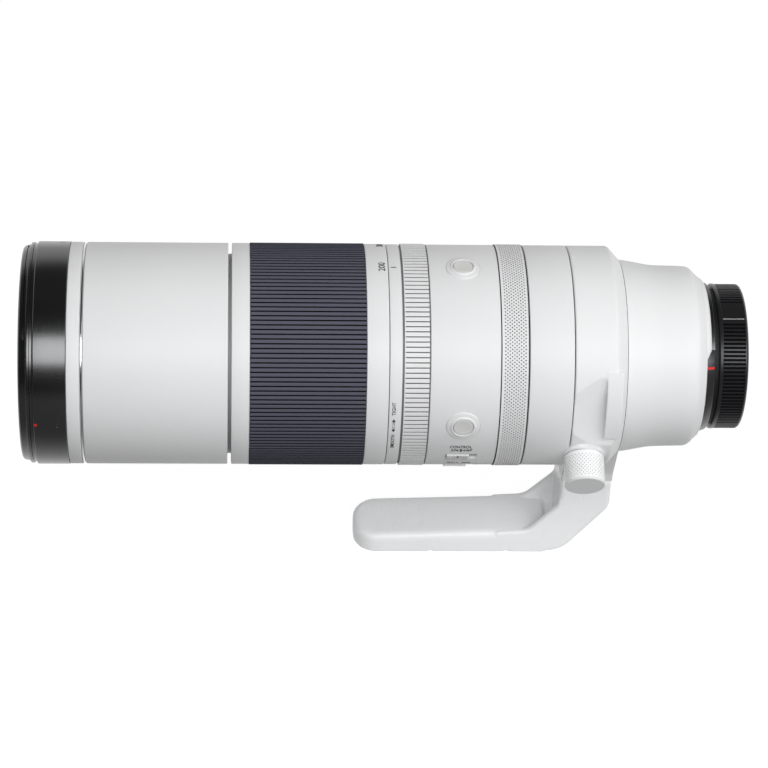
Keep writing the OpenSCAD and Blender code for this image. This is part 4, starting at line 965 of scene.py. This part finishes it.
# %% [markdown]
# ## Rear barrel and mount
#
# Behind the collar the barrel narrows in one smooth curve to the mount. The curve comes from
# many corners along the outline, shaded smooth. The mount's dark metal skirt is wide below
# and narrow above, where a white lip reaches back over it, so the white part is a full turn
# up to the skirt and a quarter turn of lip. Where the skirt changes width, the edges run
# slanted. Each slant is a short sector whose corners are moved in step with their angle.

# %% Sectors with a slanted edge
LIP = (44, 134)
SLANT = 8
SLANT_SECTORS = ((LIP[0] - SLANT, LIP[0] - SLANT), (LIP[1], LIP[1] + SLANT))


def slanted_ends(outline, material, smooth, move):
    """Two short sectors. Each station changes by its angle from the clock angle widest."""
    ends = []
    for start, widest in SLANT_SECTORS:
        sector = turned("slant", outline, material, steps=SLANT, arc=SLANT, start=start,
                        smooth=smooth)
        for vertex in sector.data.vertices:
            clock = math.degrees(math.atan2(vertex.co.z, -vertex.co.y))
            share = min(1, abs(clock - widest) / SLANT)
            vertex.co.x = move(vertex.co.x / MM, share) * MM
        ends.append(sector)
    return ends


# %% Rear barrel
REAR_CURVE = [(-41.05, 44.6), (-38.0, 44.2), (-34.5, 43.6), (-30.0, 42.75), (-27.5, 42.3),
              (-25.0, 42.05), (-20.7, 41.9), (-15, 41.8), (-10.0, 41.65), (-8.6, 41.2),
              (-7.4, 40.3), (-6.2, 39.0), (-5.0, 37.9), (-4.2, 37.2)]
REAR_BORE = [(-4.1, 37.0), (-4.1, 34.2), (-8, 34.2), (-12, 40.0), (-36, 41)]
LIP_OUTLINE = [(-4.4, 34.2), (-4.4, 37.15), (-4.1, 37.1), (-3.0, 36.3), (-2.1, 35.5),
               (-1.8, 35.0), (-1.7, 34.4), (-1.7, 34.2)]
LIP_ROOT, LIP_LENGTH = -4.2, 2.5
rear_shell = turned("rear_shell", [(-40.85, 43.2)] + REAR_CURVE + REAR_BORE, white_cast,
                    smooth=50)
lip = turned("mount_lip", LIP_OUTLINE, white_cast, steps=50, arc=LIP[1] - LIP[0],
             start=LIP[0], smooth=50)
lip_ends = slanted_ends(LIP_OUTLINE, white_cast, 50,
                        lambda x, share: min(x, LIP_ROOT + LIP_LENGTH * share))
fitted(joined("white_rear_barrel", [rear_shell, lip] + lip_ends), "barrel", "white_metal",
       "rear_barrel")

# %% Skirt and its index mark
SKIRT = [(-4.6, 33.9), (-4.6, 35.3), (-4.4, 35.5), (-0.5, 34.3), (-0.2, 34.05), (-0.2, 33.9)]
SKIRT_ROOT, SKIRT_LENGTH = -4.6, 2.8
mount_ring = turned("mount_ring", [(-3.2, 33.2), (-3.2, 34.06), (-0.2, 34.06), (-0.02, 33.9),
                                   (-0.02, 33.2)], dark_metal, soften=0.04)
skirt = turned("skirt", SKIRT, dark_metal, steps=150, arc=LIP[0] - SLANT + 360 - LIP[1] - SLANT,
               start=LIP[1] + SLANT - 360)
skirt_ends = slanted_ends(SKIRT, dark_metal, 30,
                          lambda x, share: max(x, SKIRT_ROOT + SKIRT_LENGTH * share))
fitted(joined("mount_skirt", [mount_ring, skirt] + skirt_ends), "barrel", "mount_steel")
ring("red_index_bar", [(-4.0, 34.9), (-4.0, 35.42), (-0.4, 34.32), (-0.4, 33.9)], red_paint,
     "barrel", "white_shell", steps=4, arc=1.9, start=29.2)

# %% [markdown]
# ## Tripod collar
#
# The collar is a casting that turns on the barrel. A stub below carries the foot, a boss
# carries the lock knob, and on each side a flat recess runs under a strap bar. Hard
# cuts would look machined, so the parts are joined with booleans first, and the whole is
# then remeshed to a fine even net whose edges are smoothed, as sand casting and paint do.

# %% Turn the collar ring
COLLAR_OUTLINE = [(-65.5, 46.35), (-65.5, 50.5), (-65.2, BARREL_RADIUS),
                  (-47.0, BARREL_RADIUS), (-46.0, 50.3), (-42.0, 45.8), (-41.2, 44.8),
                  (-41.2, 43.3), (-43.0, 43.3), (-43.0, 46.35)]
collar = turned("white_tripod_collar", COLLAR_OUTLINE, white_cast)

# %% Stub and boss
STALK_REAR, STALK_FRONT, SEAM_Z = -38.2, -62.4, -67
KNOB_X, KNOB_CLOCK, KNOB_RADIUS = -58.6, -24, 9.2
STUB_SIDE = [(-23, -36), (-13.2, -62), (-13, SEAM_Z)]
STUB_BORE = [(-70, 1), (-70, 46.4), (-43, 46.4), (-43, 44.95), (-30, 44.95), (-30, 1)]
BOSS = [(0, 0.75), (9.4, 0.75), (9.6, 0.4), (9.6, -4), (0, -4)]
stub_outline = STUB_SIDE + [(-y, z) for y, z in reversed(STUB_SIDE)]
stub = prism("stub", [(STALK_FRONT, y, z) for y, z in stub_outline],
             (STALK_REAR - STALK_FRONT, 0, 0))
combined(stub, turned("stub_bore", STUB_BORE, white_cast, steps=96), "DIFFERENCE")
combined(collar, stub, "UNION")
boss = seated(spun("boss", BOSS, white_cast, steps=96), KNOB_X, BARREL_RADIUS, KNOB_CLOCK)
combined(collar, boss, "UNION")
print("collar with stub and boss:", len(collar.data.polygons), "faces")

# %% [markdown]
# ## Strap recesses
#
# Each recess is a flat facet that slopes inwards towards the rear, so its upper edge runs
# slanted over the round ring. A curved bar crosses its deep end, for a strap.

# %% Cut the recesses and add the strap bars
STRAP_CLOCK = 7
BAR_FRONT, BAR_REAR = -51.0, -43.6
RECESS = [(-67, 50.08), (-54, 47.45), (-38, 47.45), (-38, 60), (-67, 60)]
RECESS_HALF = 24


def sector(name, outline, start, arc, steps, far_side):
    """A sector of the collar, or its mirror image on the far side."""
    return turned(name, outline, white_cast, steps=steps, arc=arc,
                  start=180 - start - arc if far_side else start)


for far_side in (False, True):
    facing = outward(180 - STRAP_CLOCK if far_side else STRAP_CLOCK)
    along = Vector((0, -facing.z, facing.y)) * RECESS_HALF
    corners = [Vector((x, 0, 0)) + facing * r - along for x, r in RECESS]
    combined(collar, prism("recess", corners, along * 2), "DIFFERENCE")
    strap_bar = sector("strap_bar", square(BAR_FRONT, BAR_REAR, 49.3, 51.0), -9, 40, 20,
                       far_side)
    post = sector("bar_post", square(BAR_FRONT + 1.2, BAR_REAR, 46.8, 50), -7, 5, 4, far_side)
    combined(strap_bar, post, "UNION")
    combined(collar, strap_bar, "UNION")
    slot = sector("strap_slot", square(BAR_FRONT + 0.4, BAR_REAR - 0.6, 47.2, 49.7), -9.6, 2.6,
                  4, far_side)
    combined(collar, slot, "DIFFERENCE")
print("collar before the remesh:", len(collar.data.polygons), "faces")


# %% Cast the collar
def cast(piece, voxel, passes, keep):
    """Remeshes a joined solid, smooths its edges as paint does, and thins the flat parts."""
    modified(piece, "REMESH", mode="VOXEL", voxel_size=voxel * MM)
    modified(piece, "SMOOTH", factor=0.5, iterations=passes)
    modified(piece, "DECIMATE", ratio=keep)
    return piece


cast(collar, voxel=0.42, passes=2, keep=0.4)
surfaced(collar, white_cast, 60)
fitted(collar, "collar", "white_metal", "collar_ring")

# %% [markdown]
# ## Tripod foot
#
# The foot is a long plate under a bent stalk, cast in one piece. Two thin webs brace the
# stalk in front, with a pocket between them. Each part is a simple solid with its own
# rounded edges, and the remesh that follows blends them where they meet.

# %% Rounded corners and edges
def rounded(corners, steps=6):
    """Points of an outline whose (x, z, radius) corners are replaced by arcs."""
    points = []
    for i, (x, z, radius) in enumerate(corners):
        here = Vector((x, z))
        if not radius:
            points.append(here)
            continue
        before = (Vector(corners[i - 1][:2]) - here).normalized()
        after = (Vector(corners[(i + 1) % len(corners)][:2]) - here).normalized()
        half = before.angle(after) / 2
        centre = here + (before + after).normalized() * radius / math.sin(half)
        start = (here + before * radius / math.tan(half) - centre).normalized()
        end = (here + after * radius / math.tan(half) - centre).normalized()
        points += [centre + radius * start.slerp(end, k / steps) for k in range(steps + 1)]
    return points


def eased_faces(piece, chosen, width, segments):
    """Bevels the edges of the faces whose normal is chosen."""
    for face in piece.data.polygons:
        face.select = chosen(face.normal)
    only(piece)
    bpy.ops.object.mode_set(mode="EDIT")
    bpy.ops.mesh.select_mode(type="FACE")
    bpy.ops.mesh.bevel(offset=width * MM, segments=segments, affect="EDGES")
    bpy.ops.object.mode_set(mode="OBJECT")
    return piece


# %% Plate
SOLE_Z, PLATE_TOP_Z, FOOT_FRONT, PLATE_REAR, PLATE_HALF = -112, -101.8, -160, -67, 14.5
PLATE_TILT = math.atan2(2.9, 83.1)
plate_plan = rounded([(FOOT_FRONT, -PLATE_HALF, 11.5), (PLATE_REAR, -PLATE_HALF, 0),
                      (PLATE_REAR, PLATE_HALF, 0), (FOOT_FRONT, PLATE_HALF, 11.5)], 10)
plate = prism("plate", [(x, y, SOLE_Z) for x, y in plate_plan], (0, 0, 16))
only(plate)
bpy.ops.object.mode_set(mode="EDIT")
bpy.ops.mesh.select_all(action="SELECT")
bpy.ops.mesh.bisect(plane_co=Vector((FOOT_FRONT, 0, PLATE_TOP_Z)) * MM,
                    plane_no=(-math.sin(PLATE_TILT), 0, math.cos(PLATE_TILT)),
                    clear_outer=True, use_fill=True)
bpy.ops.mesh.bevel(offset=3.2 * MM, segments=5, affect="EDGES")
bpy.ops.object.mode_set(mode="OBJECT")
eased_faces(plate, lambda normal: normal.z < -0.9, width=0.7, segments=2)


# %% Threads and stop notches in the sole
def cut_sole(x, y, outline, steps):
    """Cuts a round hole with a (radius, height) outline into the sole."""
    hole = spun("hole", outline, white_enamel, steps=steps)
    hole.data.transform(Matrix.Translation(Vector((x, y, SOLE_Z)) * MM))
    combined(plate, hole, "DIFFERENCE")


for x, radius in ((-128, 3.2), (-104, 4.76)):
    cut_sole(x, 0, [(0, -1), (radius + 0.6, -1), (radius + 0.6, 0.05), (radius, 0.6),
                    (radius, 8), (0, 8)], steps=40)
for x in (-122.4, -86.0):
    cut_sole(x, -PLATE_HALF, [(0, -1), (1.3, -1), (1.3, 1.1), (0, 1.6)], steps=20)
print("plate with its threads:", len(plate.data.polygons), "faces")

# %% Stalk
stalk_side = rounded([(-80, SOLE_Z + 0.4, 0), (-59.6, SOLE_Z + 0.4, 13), (STALK_REAR, -83.5, 9),
                      (STALK_REAR, SEAM_Z, 0), (STALK_FRONT, SEAM_Z, 0), (STALK_FRONT, -101, 0),
                      (-80, -103, 0)])
stalk = prism("stalk", [(x, -PLATE_HALF, z) for x, z in stalk_side], (0, 2 * PLATE_HALF, 0))
eased_faces(stalk, lambda normal: abs(normal.y) > 0.9, width=2.2, segments=4)

# %% Webs
WEB, WEB_OUT = 3.6, 0.995 * PLATE_HALF
web_side = rounded([(STALK_FRONT - 0.2, -78, 0), (STALK_FRONT - 0.4, -83, 6), (-76.5, -98.6, 8),
                    (-92, -99.6, 0), (-92, -104, 0), (-56, -104, 0), (-56, -78, 0)])
webs = []
for outer, inner in ((-WEB_OUT, WEB), (WEB_OUT, -WEB)):
    web = prism("web", [(x, outer, z) for x, z in web_side], (0, inner, 0))
    webs.append(modified(web, "BEVEL", width=1.1 * MM, segments=3, limit_method="ANGLE",
                         angle_limit=math.radians(40)))

# %% Cast the foot
TOP_HALF = 13
foot = joined("white_tripod_foot", [plate, stalk] + webs)
for vertex in foot.data.vertices:
    rise = (vertex.co.z / MM - PLATE_TOP_Z) / (SEAM_Z - PLATE_TOP_Z)
    vertex.co.y *= 1 - max(0, rise) * (1 - TOP_HALF / PLATE_HALF)
cast(foot, voxel=0.5, passes=5, keep=0.35)
surfaced(foot, white_enamel, 60)
fitted(foot, "collar", "white_metal", "tripod_foot")

# %% [markdown]
# ## Lock knob
#
# A knurled tube with a flat end face stands on the boss. The knurl is the same net of pits
# as on the control ring, only finer.

# %% Knob
KNOB_LENGTH, KNOB_SEAT = 14.8, 51.75
# Painted shade: the knob's pits take the grey line paint.
grip_tube = pitted("grip_tube", KNOB_RADIUS, KNOB_LENGTH - 1.8, rows=34, columns=12, pit=0.36,
                   depth=0.25, inner=5, material=white_enamel, shade=line_paint_and_pit_shade, margin=0.5)
grip_tube.data.transform(Matrix.Translation((0, 0, MM)))
end_face = spun("end_face", [(0, KNOB_LENGTH), (8.7, KNOB_LENGTH), (9.15, 14.5),
                             (KNOB_RADIUS, 13.95), (0, 13.95)], white_cast, steps=96)
root = spun("root", [(0, 0), (8.5, 0), (KNOB_RADIUS, 0.6), (KNOB_RADIUS, 1.05), (0, 1.05)],
            white_enamel, steps=96)
stem = spun("stem", [(0, -5), (2.9, -5), (2.9, 0.5), (0, 0.5)], white_enamel, steps=24)
knob = joined("white_lock_knob", [grip_tube, end_face, root, stem])
seated(knob, KNOB_X, KNOB_SEAT, KNOB_CLOCK)
fitted(knob, "knob", "white_metal", "lock_knob")

# %% [markdown]
# ## Rear cap
#
# The cap is moulded plastic. A narrow neck turns inside the mount's skirt, a rim overhangs
# it, and fine ribs run over the rest for grip. One plain pad on top carries a light line.

# %% Ribbed cap
CAP_RIBS = 114
RIB_START, RIB_END = 3.9, 14.1
CAP_RIB = [(-0.5, 32.2), (-0.27, 32.2), (-0.2, 33.5), (0.2, 33.5), (0.27, 32.2), (0.5, 32.2)]
cap_ribs = ribbed("cap_ribs", RIB_START, RIB_END,
                  [(share * 360 / CAP_RIBS, r) for share, r in CAP_RIB], CAP_RIBS, 30.6,
                  cap_plastic)
# Painted shade: the grooves between the cap's ribs are coloured near black.
shaded_grooves(cap_ribs, 32.9, black_groove_shade)
cap_body = turned("cap_body",
                  [(2.2, 31.0), (2.2, 33.3), (2.5, 33.7), (3.75, 33.7), (4.0, 33.4),
                   (4.0, 31.8), (14.0, 31.8), (14.0, 33.45), (14.5, 33.45), (15.1, 33.0),
                   (15.5, 32.3), (15.5, 31.4), (15.3, 30.9), (15.3, 0.0), (13.6, 0.0),
                   (13.6, 29.5), (2.2, 29.5)], cap_plastic, soften=0.05)
pad = turned("cap_pad", square(RIB_START, RIB_END, 32.0, 33.55), cap_plastic, steps=24,
             arc=19, start=66)
fitted(joined("black_rear_cap", [cap_body, cap_ribs, pad]), "cap", "black_plastic", "rear_cap")
ring("cap_neck", square(0.35, 2.3, 29.5, 31.4), black_matte, "cap", "black_plastic", steps=96)
ring("cap_line", square(4.1, 13.9, 33.4, 33.6), line_paint_and_pit_shade, "cap", "black_plastic", steps=2,
     arc=0.45, start=69.4)
